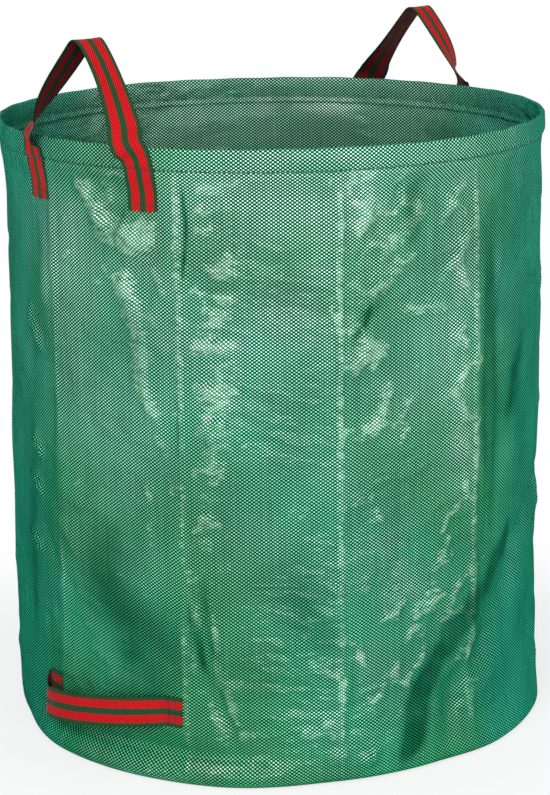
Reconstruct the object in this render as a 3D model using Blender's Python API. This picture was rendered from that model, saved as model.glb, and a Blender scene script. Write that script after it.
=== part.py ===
"""Pop up leaf bag: a round, self-standing garden sack of laminated woven cloth.

Metres, +Z up. The origin is the centre of the base's underside, on the floor, and the front is -Y.
The wall is one cloth rolled into a tube, turned in at the bottom and lap sewn over a round base.
A flat plastic hoop in the folded hem springs the mouth open. Two webbing carry loops stand on the
outside of the hem, and a third strap low on the front is held to tip the bag out.
"""

from math import radians

import bmesh
import bpy
import numpy as np

# Whole bag
BAG_HEIGHT = 0.760
RIM_RADIUS = 0.338
SEWN_GAP = 0.0003

# Cloth wall: how far it draws in at the hem's stitching, then into the waist, and out in the belly
CLOTH_THICKNESS = 0.0008
STITCH_PINCH = 0.0025
WAIST_HOLLOW = 0.0020
BELLY_SPREAD = 0.0005
WAIST_DROP = 0.030
BELLY_HEIGHT = 0.150
CORNER_RADIUS = 0.024
BASE_LAP = 0.012

# Storage creases, which leave the wall in slightly flat panels
FRONT_CREASE_AZIMUTH = radians(-50.0)
FRONT_PANEL_ANGLE = radians(31.9)
FRONT_PANELS = 3
BACK_PANELS = 8
PANEL_STEPS = 6
PANEL_FLATTENING = 0.0030

# Lap seam up the back, where the rolled cloth is sewn into a tube
SEAM_AZIMUTH = radians(179.0)
SEAM_WIDTH = 0.024
SEAM_FLANK = 0.0012

# Tape over the raw edge inside the base
TAPE_WIDTH = 0.020
TAPE_THICKNESS = 0.0005
TAPE_OVERHANG = 0.009
TAPE_STEP = 0.0022

# Hem, pinched where it is stitched, and the hoop that it holds
HEM_DEPTH = 0.027
HEM_PINCH_RISE = 0.0050
HEM_TURNING = 0.008
HOOP_WIDTH = 0.017
HOOP_THICKNESS = 0.0015
HOOP_DROP = 0.0035
HOOP_END_GAP = 0.0010
SLEEVE_LENGTH = 0.060
SLEEVE_THICKNESS = 0.0005
SLEEVE_AZIMUTH = radians(100.0)

# Webbing
STRAP_WIDTH = 0.038
STRAP_THICKNESS = 0.0014
STRAP_SELVEDGE = 0.0006

# Carry handles. Each strap end is sewn below the hem and lies on it up to a fold line just above.
# From there the free strap twists until its crest lies across the rim.
TAB_LENGTH = 0.047
FOLD_HEIGHT = 0.012
FOLD_STRAIGHT = 0.003
FOLD_GAP = 0.0003
CREST_RADIUS = 0.010
CREST_LEAN = radians(40.0)
CREST_TWIST = radians(95.0)
FRONT_HANDLE = {
    "azimuth": radians(-40.0),
    "half_angle": radians(12.4),
    "foot_shifts": (radians(-1.2), radians(2.4)),
    "crest_shift": 0.0155,
    "crest_height": 0.115,
    "foot_leans": (radians(28.0), radians(-17.0)),
}
REAR_HANDLE = {
    "azimuth": radians(144.9),
    "half_angle": radians(11.2),
    "foot_shifts": (radians(-0.6), radians(3.0)),
    "crest_shift": -0.0065,
    "crest_height": 0.100,
    "foot_leans": (radians(16.0), radians(-36.0)),
}

# Emptying handle, low on the front under the front carry handle
GRIP_LEFT_HEIGHT = 0.078
GRIP_RIGHT_HEIGHT = 0.088
GRIP_RIGHT_AZIMUTH = radians(-22.6)
GRIP_LEFT_AZIMUTH = radians(-55.4)
GRIP_RIGHT_TAB = 0.021
GRIP_LEFT_TAB = 0.024
GRIP_END_GAP = 0.0006
GRIP_TURN_RADIUS = 0.0036
GRIP_TURN_DROP = 0.018
GRIP_RIGHT_SLOPE = radians(22.0)
GRIP_LEFT_SLOPE = radians(36.0)
GRIP_DRAPE = 0.006
GRIP_RISE_POWER = 1.3

# Numbers of facets, and how they crowd towards a strap's foot
WALL_ROWS = 7
CORNER_STEPS = 4
FOLD_STEPS = 6
TAB_COLUMNS = 6
LEG_STEPS = 12
CREST_STEPS = 6
GRIP_STEPS = 16
TURN_STEPS = 6
LEG_CROWDING = 1.4
TWIST_POWER = 4.0

# Where the pieces meet
STITCH_RADIUS = RIM_RADIUS - STITCH_PINCH
WAIST_RADIUS = STITCH_RADIUS - WAIST_HOLLOW
BELLY_RADIUS = STITCH_RADIUS + BELLY_SPREAD
STITCH_Z = BAG_HEIGHT - HEM_DEPTH
FOLD_Z = BAG_HEIGHT + FOLD_HEIGHT
WALL_TOP = STITCH_Z - SEWN_GAP / 2
HEM_BOTTOM = STITCH_Z + SEWN_GAP / 2
WAIST_Z = WALL_TOP - WAIST_DROP
WALL_BOTTOM = CLOTH_THICKNESS + SEWN_GAP
CORNER_TOP = WALL_BOTTOM + CORNER_RADIUS
LAP_OUTER_RADIUS = BELLY_RADIUS - CORNER_RADIUS
LAP_INNER_RADIUS = LAP_OUTER_RADIUS - BASE_LAP
SLEEVE_ROOM = SEWN_GAP + SLEEVE_THICKNESS + SEWN_GAP
HOOP_RADIUS = RIM_RADIUS - CLOTH_THICKNESS - SLEEVE_ROOM - HOOP_THICKNESS / 2
HOOP_TOP = BAG_HEIGHT - HOOP_DROP
HOOP_BOTTOM = HOOP_TOP - HOOP_WIDTH
STRAP_CENTRE = SEWN_GAP + STRAP_THICKNESS / 2
TAB_TOP = FOLD_Z - FOLD_GAP / 2
LOOP_BOTTOM = FOLD_Z + FOLD_GAP / 2
UP = np.array([0.0, 0.0, 1.0])


def smooth(share):
    """0 before 0, 1 after 1, and an even S between them."""
    share = np.clip(share, 0.0, 1.0)
    return share * share * (3.0 - 2.0 * share)


def blend(start, end, share):
    return start + (end - start) * share


def unit(vectors):
    return vectors / np.linalg.norm(vectors, axis=-1, keepdims=True)


def lengths_along(points):
    steps = np.linalg.norm(np.diff(points, axis=0), axis=1)
    return np.concatenate([[0.0], np.cumsum(steps)])


def around(azimuth, radius, z):
    """Points at an azimuth from the front (-Y) towards +X, a radius from the bag's axis, and a height."""
    azimuth, radius, z = np.broadcast_arrays(azimuth, radius, z)
    return np.stack([radius * np.sin(azimuth), -radius * np.cos(azimuth), z], axis=-1)


def directions(azimuth):
    """Along the rim towards +X at the front, and straight out from the bag."""
    along = np.array([np.cos(azimuth), np.sin(azimuth), 0.0])
    out = np.array([np.sin(azimuth), -np.cos(azimuth), 0.0])
    return along, out


def crease_azimuths():
    """The creases at the front, and then those that share the rest of the way round."""
    front = FRONT_CREASE_AZIMUTH + FRONT_PANEL_ANGLE * np.arange(FRONT_PANELS)
    back_start = FRONT_CREASE_AZIMUTH + FRONT_PANEL_ANGLE * FRONT_PANELS
    back_end = FRONT_CREASE_AZIMUTH + 2.0 * np.pi
    back = np.linspace(back_start, back_end, BACK_PANELS + 1)
    return np.concatenate([front, back])


def ring_azimuths():
    """Where every ring of cloth has its facets: even steps in each panel."""
    creases = crease_azimuths()
    steps = np.arange(PANEL_STEPS) / PANEL_STEPS
    return (creases[:-1, None] + np.diff(creases)[:, None] * steps).ravel()


def facet_share(azimuth):
    """How near the bag's axis a ring's flat facet passes at an azimuth, as a share of its radius."""
    stations = ring_azimuths()
    stations = np.append(stations, stations[0] + 2.0 * np.pi)
    turned = stations[0] + np.mod(azimuth - stations[0], 2.0 * np.pi)
    facet = np.clip(np.searchsorted(stations, turned, side="right") - 1, 0, len(stations) - 2)
    half = (stations[facet + 1] - stations[facet]) / 2
    return np.cos(half) / np.cos(turned - stations[facet] - half)


def stations_between(start, end):
    """A start, the ring's stations beyond it, and an end less than one turn on."""
    stations = ring_azimuths()
    turned = start + np.mod(stations - start, 2.0 * np.pi)
    inside = np.sort(turned[(turned > start) & (turned < end)])
    return np.concatenate([[start], inside, [end]])


def seam_edges():
    """Azimuths where the lap seam's two flanks start and where they reach their full height."""
    half = SEAM_WIDTH / 2 / RIM_RADIUS
    flank = SEAM_FLANK / RIM_RADIUS
    return SEAM_AZIMUTH + np.array([-half - flank, -half, half, half + flank])


def panel_hollow(azimuth):
    """0 on a crease and 1 in the middle of the panel between two creases."""
    creases = crease_azimuths()
    turned = creases[0] + np.mod(azimuth - creases[0], 2.0 * np.pi)
    panel = np.clip(np.searchsorted(creases, turned, side="right") - 1, 0, len(creases) - 2)
    share = (turned - creases[panel]) / (creases[panel + 1] - creases[panel])
    return 4.0 * share * (1.0 - share)


def outer_radius(azimuth, z):
    """The bag's outer face: straight between its corner, belly, waist, stitching and hem."""
    heights = [CORNER_TOP, BELLY_HEIGHT, WAIST_Z, WALL_TOP, HEM_BOTTOM, HEM_BOTTOM + HEM_PINCH_RISE]
    radii = [BELLY_RADIUS, BELLY_RADIUS, WAIST_RADIUS, STITCH_RADIUS, STITCH_RADIUS, RIM_RADIUS]
    flattened = np.interp(z, heights, [0.0, PANEL_FLATTENING, PANEL_FLATTENING, 0.0, 0.0, 0.0])
    return np.interp(z, heights, radii) - flattened * panel_hollow(azimuth)


def new_object(name, mesh, material):
    piece = bpy.data.objects.new(name, mesh)
    bpy.context.scene.collection.objects.link(piece)
    mesh.materials.append(material)
    return piece


def swept(name, sections, material, closed=False, origin=(0.0, 0.0, 0.0)):
    """A solid through closed sections of equally many points, capped unless it closes on itself."""
    sections = np.asarray(sections, dtype=float)
    count, points = sections.shape[:2]
    mesh = bpy.data.meshes.new(name)
    build = bmesh.new()
    corners = sections.reshape(-1, 3) - np.asarray(origin)
    verts = [build.verts.new(corner) for corner in corners.tolist()]
    for row in range(count if closed else count - 1):
        here = row * points
        after = (row + 1) % count * points
        for column in range(points):
            beside = (column + 1) % points
            quad = (here + column, here + beside, after + beside, after + column)
            build.faces.new([verts[index] for index in quad])
    if not closed:
        build.faces.new(verts[:points])
        build.faces.new(verts[-points:])
    bmesh.ops.recalc_face_normals(build, faces=build.faces)
    build.to_mesh(mesh)
    build.free()
    mesh.shade_smooth()
    mesh.set_sharp_from_angle(angle=radians(35.0))
    piece = new_object(name, mesh, material)
    piece.location = origin
    return piece


def sheet_outline(path, thickness):
    """A strip's section: the path's two sides, mitred so that the strip is equally thick throughout."""
    path = np.asarray(path, dtype=float)
    runs = unit(np.diff(path, axis=0))
    sides = np.stack([runs[:, 1], -runs[:, 0]], axis=-1)
    before = np.concatenate([sides[:1], sides])
    after = np.concatenate([sides, sides[-1:]])
    middle = unit(before + after)
    mitre = middle / np.sum(middle * before, axis=-1, keepdims=True) * thickness / 2
    return np.concatenate([path + mitre, (path - mitre)[::-1]])


def ring_of(name, outline, material):
    """One (radius, z) outline carried right round the bag."""
    azimuths = ring_azimuths()
    sections = around(azimuths[:, None], outline[None, :, 0], outline[None, :, 1])
    return swept(name, sections, material, closed=True)


def material(name, colour, roughness):
    made = bpy.data.materials.new(name)
    made.use_nodes = True
    shader = made.node_tree.nodes["Principled BSDF"]
    shader.inputs["Base Color"].default_value = (*colour, 1.0)
    shader.inputs["Roughness"].default_value = roughness
    shader.inputs["Metallic"].default_value = 0.0
    made.diffuse_color = (*colour, 1.0)
    return made


def wall_outline(azimuth):
    """The wall's section at one azimuth, down its outer face and back up its inner face."""
    belly = np.linspace(WAIST_Z, BELLY_HEIGHT, WALL_ROWS)
    straight = np.concatenate([[WALL_TOP], belly, [CORNER_TOP]])
    turn = np.linspace(0.0, np.pi / 2, CORNER_STEPS + 1)[1:]
    lap = CLOTH_THICKNESS * np.interp(azimuth, seam_edges(), [0.0, 1.0, 1.0, 0.0])
    inner_corner = CORNER_RADIUS - CLOTH_THICKNESS
    face = outer_radius(azimuth, straight)
    outer_r = np.concatenate(
        [
            face + lap,
            LAP_OUTER_RADIUS + (CORNER_RADIUS + lap) * np.cos(turn),
            [LAP_INNER_RADIUS],
        ]
    )
    outer_z = np.concatenate([straight, CORNER_TOP - CORNER_RADIUS * np.sin(turn), [WALL_BOTTOM]])
    inner_r = np.concatenate(
        [
            face - CLOTH_THICKNESS,
            LAP_OUTER_RADIUS + inner_corner * np.cos(turn),
            [LAP_INNER_RADIUS],
        ]
    )
    lap_top = WALL_BOTTOM + CLOTH_THICKNESS
    inner_z = np.concatenate([straight, CORNER_TOP - inner_corner * np.sin(turn), [lap_top]])
    outer = np.stack([outer_r, outer_z], axis=-1)
    inner = np.stack([inner_r, inner_z], axis=-1)
    return np.concatenate([outer, inner[::-1]])


def make_wall(cloth):
    sections = []
    for azimuth in np.sort(np.concatenate([ring_azimuths(), seam_edges()])):
        outline = wall_outline(azimuth)
        sections.append(around(azimuth, outline[:, 0], outline[:, 1]))
    return swept("side_wall", sections, cloth, closed=True)


def make_base(cloth):
    """The round base lies on the floor, and the wall's turned-in edge is sewn on top of its rim."""
    mesh = bpy.data.meshes.new("base_disc")
    build = bmesh.new()
    facets = len(ring_azimuths())
    bmesh.ops.create_circle(build, cap_ends=True, radius=LAP_OUTER_RADIUS, segments=facets)
    grown = bmesh.ops.extrude_face_region(build, geom=build.faces[:])
    lifted = [part for part in grown["geom"] if isinstance(part, bmesh.types.BMVert)]
    bmesh.ops.translate(build, verts=lifted, vec=UP * CLOTH_THICKNESS)
    bmesh.ops.recalc_face_normals(build, faces=build.faces)
    build.to_mesh(mesh)
    build.free()
    return new_object("base_disc", mesh, cloth)


def make_seam_tape(tape):
    """A flat tape over the raw edge, stepping down from the wall's turned-in edge to the base."""
    on_base = WALL_BOTTOM + TAPE_THICKNESS / 2
    on_lap = on_base + CLOTH_THICKNESS + SEWN_GAP
    outer = LAP_INNER_RADIUS + TAPE_OVERHANG
    brink = LAP_INNER_RADIUS - SEWN_GAP
    path = [
        (outer, on_lap),
        (brink, on_lap),
        (brink - TAPE_STEP, on_base),
        (outer - TAPE_WIDTH, on_base),
    ]
    return ring_of("base_seam_tape", sheet_outline(path, TAPE_THICKNESS), tape)


def hem_path():
    """The middle of the hem's cloth: up the outside, over the hoop, down inside and in to the wall."""
    half = CLOTH_THICKNESS / 2
    outer = RIM_RADIUS - half
    bend = outer - HOOP_RADIUS
    shoulder = BAG_HEIGHT - half - bend
    turn = np.linspace(0.0, np.pi, FOLD_STEPS + 1)
    over = np.stack([HOOP_RADIUS + bend * np.cos(turn), shoulder + bend * np.sin(turn)], axis=-1)
    turning_end = WALL_TOP - HEM_TURNING
    turning_wall = np.min(outer_radius(ring_azimuths(), turning_end))
    in_from_wall = CLOTH_THICKNESS + SEWN_GAP + half
    under_hoop = HOOP_BOTTOM - CLOTH_THICKNESS
    return np.concatenate(
        [
            [(STITCH_RADIUS - half, HEM_BOTTOM), (outer, HEM_BOTTOM + HEM_PINCH_RISE)],
            over,
            [
                (HOOP_RADIUS - bend, under_hoop),
                (STITCH_RADIUS - in_from_wall, STITCH_Z),
                (turning_wall - in_from_wall, turning_end),
            ],
        ]
    )


def make_hem(cloth):
    return ring_of("rim_hem", sheet_outline(hem_path(), CLOTH_THICKNESS), cloth)


def make_hoop(plastic):
    """A flat strip bent into a ring, its two ends meeting inside the sleeve."""
    half_gap = HOOP_END_GAP / 2 / HOOP_RADIUS
    start = SLEEVE_AZIMUTH + half_gap
    end = SLEEVE_AZIMUTH + 2.0 * np.pi - half_gap
    azimuths = stations_between(start, end)
    half = HOOP_THICKNESS / 2
    radius = facet_share(azimuths)[:, None] * (HOOP_RADIUS + np.array([half, half, -half, -half]))
    z = np.array([HOOP_BOTTOM, HOOP_TOP, HOOP_TOP, HOOP_BOTTOM])
    return swept("rim_hoop", around(azimuths[:, None], radius, z), plastic)


def make_sleeve(plastic):
    """A flattened tube, open at both ends, that slides over the two ends of the hoop."""
    half_angle = SLEEVE_LENGTH / 2 / HOOP_RADIUS
    azimuths = stations_between(SLEEVE_AZIMUTH - half_angle, SLEEVE_AZIMUTH + half_angle)
    there_and_back = np.concatenate([azimuths, azimuths[::-1]])
    facet = facet_share(there_and_back)
    skin = np.arange(len(there_and_back)) < len(azimuths)
    bore = HOOP_THICKNESS / 2 + SEWN_GAP
    reach = np.where(skin, bore + SLEEVE_THICKNESS, bore)
    spread = np.where(skin, SEWN_GAP + SLEEVE_THICKNESS, SEWN_GAP)
    sections = [
        around(there_and_back, facet * (HOOP_RADIUS + reach), HOOP_BOTTOM - spread),
        around(there_and_back, facet * (HOOP_RADIUS + reach), HOOP_TOP + spread),
        around(there_and_back, facet * (HOOP_RADIUS - reach), HOOP_TOP + spread),
        around(there_and_back, facet * (HOOP_RADIUS - reach), HOOP_BOTTOM - spread),
    ]
    return swept("hoop_sleeve", sections, plastic, closed=True)


def strap_sections(centres, across, face, half_width):
    """Sections of free webbing: two flat faces that meet in thin selvedges."""
    half = STRAP_THICKNESS / 2
    inset = half_width - STRAP_SELVEDGE
    wide = np.stack([half_width, inset, -inset, -half_width, -inset, inset], axis=-1)
    thick = np.array([0.0, half, half, 0.0, -half, -half])
    spread = across[:, None, :] * wide[..., None]
    return centres[:, None, :] + spread + face[:, None, :] * thick[None, :, None]


def leg_azimuth(handle, side):
    """Where a handle's leg crosses the fold line."""
    return handle["azimuth"] + handle["half_angle"] * side


def fold_chord(handle):
    """The flat of the strap at the fold: how far out its middle lies, and how far along each leg is."""
    seat = RIM_RADIUS + STRAP_CENTRE
    return seat * np.cos(handle["half_angle"]), seat * np.sin(handle["half_angle"])


def make_tab(name, handle, side, webbing):
    """The strap's sewn end: flat on the wall and the hem, then turned to lie along the fold line.

    It is mitred there, as the loop's foot is, so that the loop can fold inwards over it.
    """
    foot_shift = handle["foot_shifts"][0 if side < 0 else 1]
    leg = leg_azimuth(handle, side)
    pinch_top = HEM_BOTTOM + HEM_PINCH_RISE
    heights = [STITCH_Z - TAB_LENGTH, WAIST_Z, WALL_TOP, pinch_top, BAG_HEIGHT]
    shares = np.linspace(-1.0, 1.0, TAB_COLUMNS + 1)
    sections = []
    for z in heights:
        risen = np.clip((z - STITCH_Z) / (TAB_TOP - STITCH_Z), 0.0, 1.0)
        lean = np.arctan2(2.0 * foot_shift * RIM_RADIUS * risen, TAB_TOP - STITCH_Z)
        half = STRAP_WIDTH / 2 / np.cos(lean) / RIM_RADIUS
        azimuth = leg + foot_shift * (1.0 - risen * risen) + shares * half
        inner = outer_radius(azimuth, z) + SEWN_GAP
        there_and_back = np.concatenate([azimuth, azimuth[::-1]])
        radius = np.concatenate([inner, inner[::-1] + STRAP_THICKNESS])
        sections.append(around(there_and_back, radius, z))
    along, out = directions(handle["azimuth"])
    reach, half_span = fold_chord(handle)
    half = STRAP_WIDTH / 2 / np.cos(lean)
    inner = (reach - STRAP_THICKNESS / 2) * out + (TAB_TOP - STRAP_THICKNESS) * UP
    row = inner + (half_span * side + shares * half)[:, None] * along
    sections.append(np.concatenate([row, row[::-1] + STRAP_THICKNESS * (out + UP)]))
    return swept(name, sections, webbing)


def loop_curve(handle):
    """The free strap's middle line, as distances along the rim and heights: two legs and a crest."""
    half_span = fold_chord(handle)[1]
    crest_z = BAG_HEIGHT + handle["crest_height"] - CREST_RADIUS
    crest = np.array([handle["crest_shift"], crest_z])
    share = (np.linspace(0.0, 1.0, LEG_STEPS + 1) ** LEG_CROWDING)[:, None]
    legs = []
    for side, lean in zip((-1.0, 1.0), handle["foot_leans"], strict=True):
        start = np.array([half_span * side, LOOP_BOTTOM + STRAP_THICKNESS / 2])
        shoulder = crest + CREST_RADIUS * np.array([side * np.cos(CREST_LEAN), np.sin(CREST_LEAN)])
        reach = np.linalg.norm(shoulder - start) / 3.0
        first = start + reach * np.array([np.sin(lean), np.cos(lean)])
        last = shoulder - reach * np.array([-side * np.sin(CREST_LEAN), np.cos(CREST_LEAN)])
        low = (1.0 - share) ** 3 * start + 3.0 * (1.0 - share) ** 2 * share * first
        high = 3.0 * (1.0 - share) * share**2 * last + share**3 * shoulder
        legs.append(low + high)
    turn = np.linspace(np.pi - CREST_LEAN, CREST_LEAN, CREST_STEPS + 1)[1:-1]
    over = crest + CREST_RADIUS * np.stack([np.cos(turn), np.sin(turn)], axis=-1)
    return np.concatenate([legs[0], over, legs[1][::-1]])


def make_loop(name, handle, webbing):
    """The free strap from fold to fold. Its origin is on the fold line, where it hinges on the hem."""
    along, out = directions(handle["azimuth"])
    curve = loop_curve(handle)
    ahead = unit(np.gradient(curve, axis=0))
    run = lengths_along(curve)
    middle = run[LEG_STEPS + CREST_STEPS // 2]
    rising = run < middle
    climbed = np.where(rising, run, run[-1] - run)
    leg_length = np.where(rising, middle, run[-1] - middle)
    free = np.clip((climbed - FOLD_STRAIGHT) / (leg_length - FOLD_STRAIGHT), 0.0, 1.0)
    twist = CREST_TWIST * (1.0 - (1.0 - free) ** TWIST_POWER)
    square_on = smooth(climbed / STRAP_WIDTH)
    lean = np.unwrap(np.arctan2(ahead[:, 0], ahead[:, 1]))
    tilt = blend(np.where(rising, 0.0, np.pi), lean, square_on)
    half_width = STRAP_WIDTH / 2 / np.cos(lean - tilt)
    in_plane = np.cos(tilt)[:, None] * along - np.sin(tilt)[:, None] * UP
    across = np.cos(twist)[:, None] * in_plane + np.sin(twist)[:, None] * out
    forward = ahead[:, :1] * along + ahead[:, 1:] * UP
    face = unit(np.cross(across, forward))
    face[[0, -1]] = out - UP
    reach = fold_chord(handle)[0]
    centres = reach * out + curve[:, :1] * along + curve[:, 1:] * UP
    fold_line = (reach + STRAP_THICKNESS / 2) * out + FOLD_Z * UP
    sections = strap_sections(centres, across, face, half_width)
    return swept(name, sections, webbing, origin=tuple(fold_line))


def make_carry_handle(label, handle, webbing):
    make_tab(f"{label}_handle_left_tab", handle, -1.0, webbing)
    make_tab(f"{label}_handle_right_tab", handle, 1.0, webbing)
    make_loop(f"{label}_handle_loop", handle, webbing)


def make_grip_tab(name, start, length, height, webbing):
    """A sewn end of the emptying handle, lying along the wall."""
    azimuth = start + np.linspace(0.0, length, TAB_COLUMNS + 1) / RIM_RADIUS
    low = height - STRAP_WIDTH / 2
    high = height + STRAP_WIDTH / 2
    low_seat = outer_radius(azimuth, low) + SEWN_GAP
    high_seat = outer_radius(azimuth, high) + SEWN_GAP
    corners = [
        around(azimuth, low_seat, low),
        around(azimuth, low_seat + STRAP_THICKNESS, low),
        around(azimuth, high_seat + STRAP_THICKNESS, high),
        around(azimuth, high_seat, high),
    ]
    return swept(name, np.stack(corners, axis=1), webbing)


def grip_ends():
    """The two ends of the free strap, on the wall beside the sewn ends."""
    gap = GRIP_END_GAP / RIM_RADIUS
    ends = []
    for azimuth, height in (
        (GRIP_LEFT_AZIMUTH - gap, GRIP_LEFT_HEIGHT),
        (GRIP_RIGHT_AZIMUTH - gap, GRIP_RIGHT_HEIGHT),
    ):
        edges = height + STRAP_WIDTH / 2 * np.array([-1.0, 1.0])
        seat = np.max(outer_radius(azimuth, edges)) + STRAP_CENTRE
        ends.append(around(azimuth, seat, height))
    return ends


def make_grip_loop(webbing):
    """The free strap turns back over its left end, bows out and runs along the wall to its right end.

    Its origin is on the chord between its ends, at its top edge, where it swings out from the wall.
    """
    left, right = grip_ends()
    left_along, left_out = directions(GRIP_LEFT_AZIMUTH)
    right_along, right_out = directions(GRIP_RIGHT_AZIMUTH)
    turn = np.linspace(0.0, np.pi, TURN_STEPS + 1)[:, None]
    bend = left + GRIP_TURN_RADIUS * (left_out * (1.0 - np.cos(turn)) - left_along * np.sin(turn))
    turned = smooth(turn[:, 0] / np.pi)
    bend[:, 2] -= GRIP_TURN_DROP * turned
    low_end = bend[-1] * (1.0 - UP)
    right_end = right * (1.0 - UP)
    reach = np.linalg.norm(right_end - low_end) / 3.0
    leaving = left_along * np.cos(GRIP_LEFT_SLOPE) + left_out * np.sin(GRIP_LEFT_SLOPE)
    arriving = right_along * np.cos(GRIP_RIGHT_SLOPE) - right_out * np.sin(GRIP_RIGHT_SLOPE)
    first = low_end + reach * leaving
    last = right_end - reach * arriving
    share = np.linspace(0.0, 1.0, GRIP_STEPS + 1)[1:, None]
    early = (1.0 - share) ** 3 * low_end + 3.0 * (1.0 - share) ** 2 * share * first
    late = 3.0 * (1.0 - share) * share**2 * last + share**3 * right_end
    rising = blend(bend[-1], right, 1.0 - (1.0 - share) ** GRIP_RISE_POWER) * UP
    centres = np.concatenate([bend, early + late + rising])
    run = lengths_along(centres)
    ahead = unit(np.gradient(centres * (1.0 - UP), axis=0))
    face = np.cross(np.broadcast_to(UP, ahead.shape), ahead)
    drape = np.sin(np.pi * run / run[-1]) * GRIP_DRAPE / STRAP_WIDTH
    across = unit(UP + drape[:, None] * face)
    face = unit(np.cross(across, ahead))
    sections = strap_sections(centres, across, face, np.full(len(centres), STRAP_WIDTH / 2))
    hinge = (left + right) / 2 + UP * STRAP_WIDTH / 2
    return swept("emptying_handle_loop", sections, webbing, origin=tuple(hinge))


def main():
    for old in list(bpy.data.objects):
        bpy.data.objects.remove(old, do_unlink=True)
    cloth = material("green_woven_cloth", (0.08, 0.38, 0.22), 0.42)
    tape = material("green_seam_tape", (0.04, 0.20, 0.11), 0.70)
    plastic = material("hoop_plastic", (0.03, 0.03, 0.03), 0.45)
    webbing = material("striped_webbing", (0.62, 0.02, 0.03), 0.75)
    make_base(cloth)
    make_seam_tape(tape)
    make_wall(cloth)
    make_hem(cloth)
    make_hoop(plastic)
    make_sleeve(plastic)
    make_carry_handle("front", FRONT_HANDLE, webbing)
    make_carry_handle("rear", REAR_HANDLE, webbing)
    left_tab = (GRIP_LEFT_AZIMUTH, GRIP_LEFT_TAB, GRIP_LEFT_HEIGHT)
    right_tab = (GRIP_RIGHT_AZIMUTH, GRIP_RIGHT_TAB, GRIP_RIGHT_HEIGHT)
    make_grip_tab("emptying_handle_left_tab", *left_tab, webbing)
    make_grip_tab("emptying_handle_right_tab", *right_tab, webbing)
    make_grip_loop(webbing)


main()
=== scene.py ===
"""Looks of a pop up leaf bag: laminated woven cloth, striped webbing, thread and hoop plastic.

The file is laid out as a Blender add-on and run as a script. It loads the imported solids, dresses them
in finely shaped cloth and webbing, and lights them plainly. Metres, +Z up; the front is -Y.
"""

from math import radians

import bpy
import numpy as np
from mathutils import Matrix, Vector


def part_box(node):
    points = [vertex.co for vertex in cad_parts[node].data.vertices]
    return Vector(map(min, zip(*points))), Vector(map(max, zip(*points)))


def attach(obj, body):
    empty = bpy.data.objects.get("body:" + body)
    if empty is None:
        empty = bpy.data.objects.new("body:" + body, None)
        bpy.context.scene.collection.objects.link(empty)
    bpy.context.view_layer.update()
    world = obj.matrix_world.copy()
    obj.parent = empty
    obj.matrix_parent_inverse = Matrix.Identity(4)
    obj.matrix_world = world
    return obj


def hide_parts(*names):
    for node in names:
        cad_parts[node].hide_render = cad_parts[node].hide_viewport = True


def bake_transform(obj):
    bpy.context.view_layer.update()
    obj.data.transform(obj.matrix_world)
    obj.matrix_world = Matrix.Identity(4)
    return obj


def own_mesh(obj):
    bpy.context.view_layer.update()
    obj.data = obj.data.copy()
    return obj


bl_info = {
    "name": "Pop Up Leaf Bag",
    "version": (1, 0, 0),
    "blender": (4, 5, 0),
    "location": "View3D > Sidebar > Leaf Bag",
    "description": "Cloth, webbing, thread and light for a round pop up garden bag",
    "category": "Object",
}

# Whole bag
BAG_HEIGHT = 0.760
RIM_RADIUS = 0.338
SEWN_GAP = 0.0003
CLOTH_THICKNESS = 0.0008
THREAD_LIFT = 0.0001

# Cloth wall
STITCH_Z = 0.733
STITCH_RADIUS = 0.3355
WAIST_RADIUS = 0.3335
BELLY_RADIUS = 0.3360
WAIST_Z = 0.703
BELLY_HEIGHT = 0.150
CORNER_RADIUS = 0.024
STANDING_CORNER = 0.009
SLUMPED_CORNER = 0.005
BASE_LAP = 0.012
FLOOR_CLEARANCE = 0.0011
WALL_COLUMNS = 540
WALL_ROWS = 128
BAND_ROWS = 12
CORNER_ROWS = 10
LAP_ROWS = 2

# Storage creases
FRONT_CREASE_AZIMUTH = radians(-50.0)
FRONT_PANEL_ANGLE = radians(31.9)
FRONT_PANELS = 3
BACK_PANELS = 8
PANEL_FLATTENING = 0.0050
CREASE_REACH = 0.004
CREASE_RISE = 0.0011

# Lap seam up the back
SEAM_AZIMUTH = radians(179.0)
SEAM_WIDTH = 0.024
SEAM_STITCH_INSET = 0.004
SEAM_FLANK = 0.0016

# Hem over the hoop
HEM_PINCH_RISE = 0.0060
HEM_TURNING = 0.008
HOOP_WIDTH = 0.017
HOOP_DROP = 0.0035
HOOP_RADIUS = 0.33535
HEM_BEND = 0.0023
HEM_PUCKERS = 151
HEM_COLUMNS = 720

# Base
BASE_ROWS = 46
BASE_COLUMNS = 180

# Webbing
STRAP_WIDTH = 0.038
STRAP_THICKNESS = 0.0014
RIB_PITCH = 0.0036
YARN_PITCH = 0.0034
TAB_LENGTH = 0.047
TAB_MARGIN = 0.006
FOLD_Z = 0.772
FREE_Z = 0.744
CREST_RADIUS = 0.010
CREST_LEAN = radians(40.0)
CREST_TWIST = radians(95.0)
FRONT_HANDLE = {
    "body": "front_loop",
    "azimuth": radians(-40.0),
    "half_angle": radians(12.4),
    "foot_shifts": (radians(-1.2), radians(2.4)),
    "crest_shift": 0.0155,
    "crest_height": 0.115,
    "foot_leans": (radians(28.0), radians(-17.0)),
}
REAR_HANDLE = {
    "body": "rear_loop",
    "azimuth": radians(144.9),
    "half_angle": radians(11.2),
    "foot_shifts": (radians(-0.6), radians(3.0)),
    "crest_shift": -0.0065,
    "crest_height": 0.100,
    "foot_leans": (radians(16.0), radians(-36.0)),
}

# The cloth's band behind the sewn ends
BAND_FOOT = STITCH_Z - TAB_LENGTH - TAB_MARGIN

# Flat sizes of the cloth before it is sewn
WALL_CUT = (2.135, 0.757)

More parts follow.
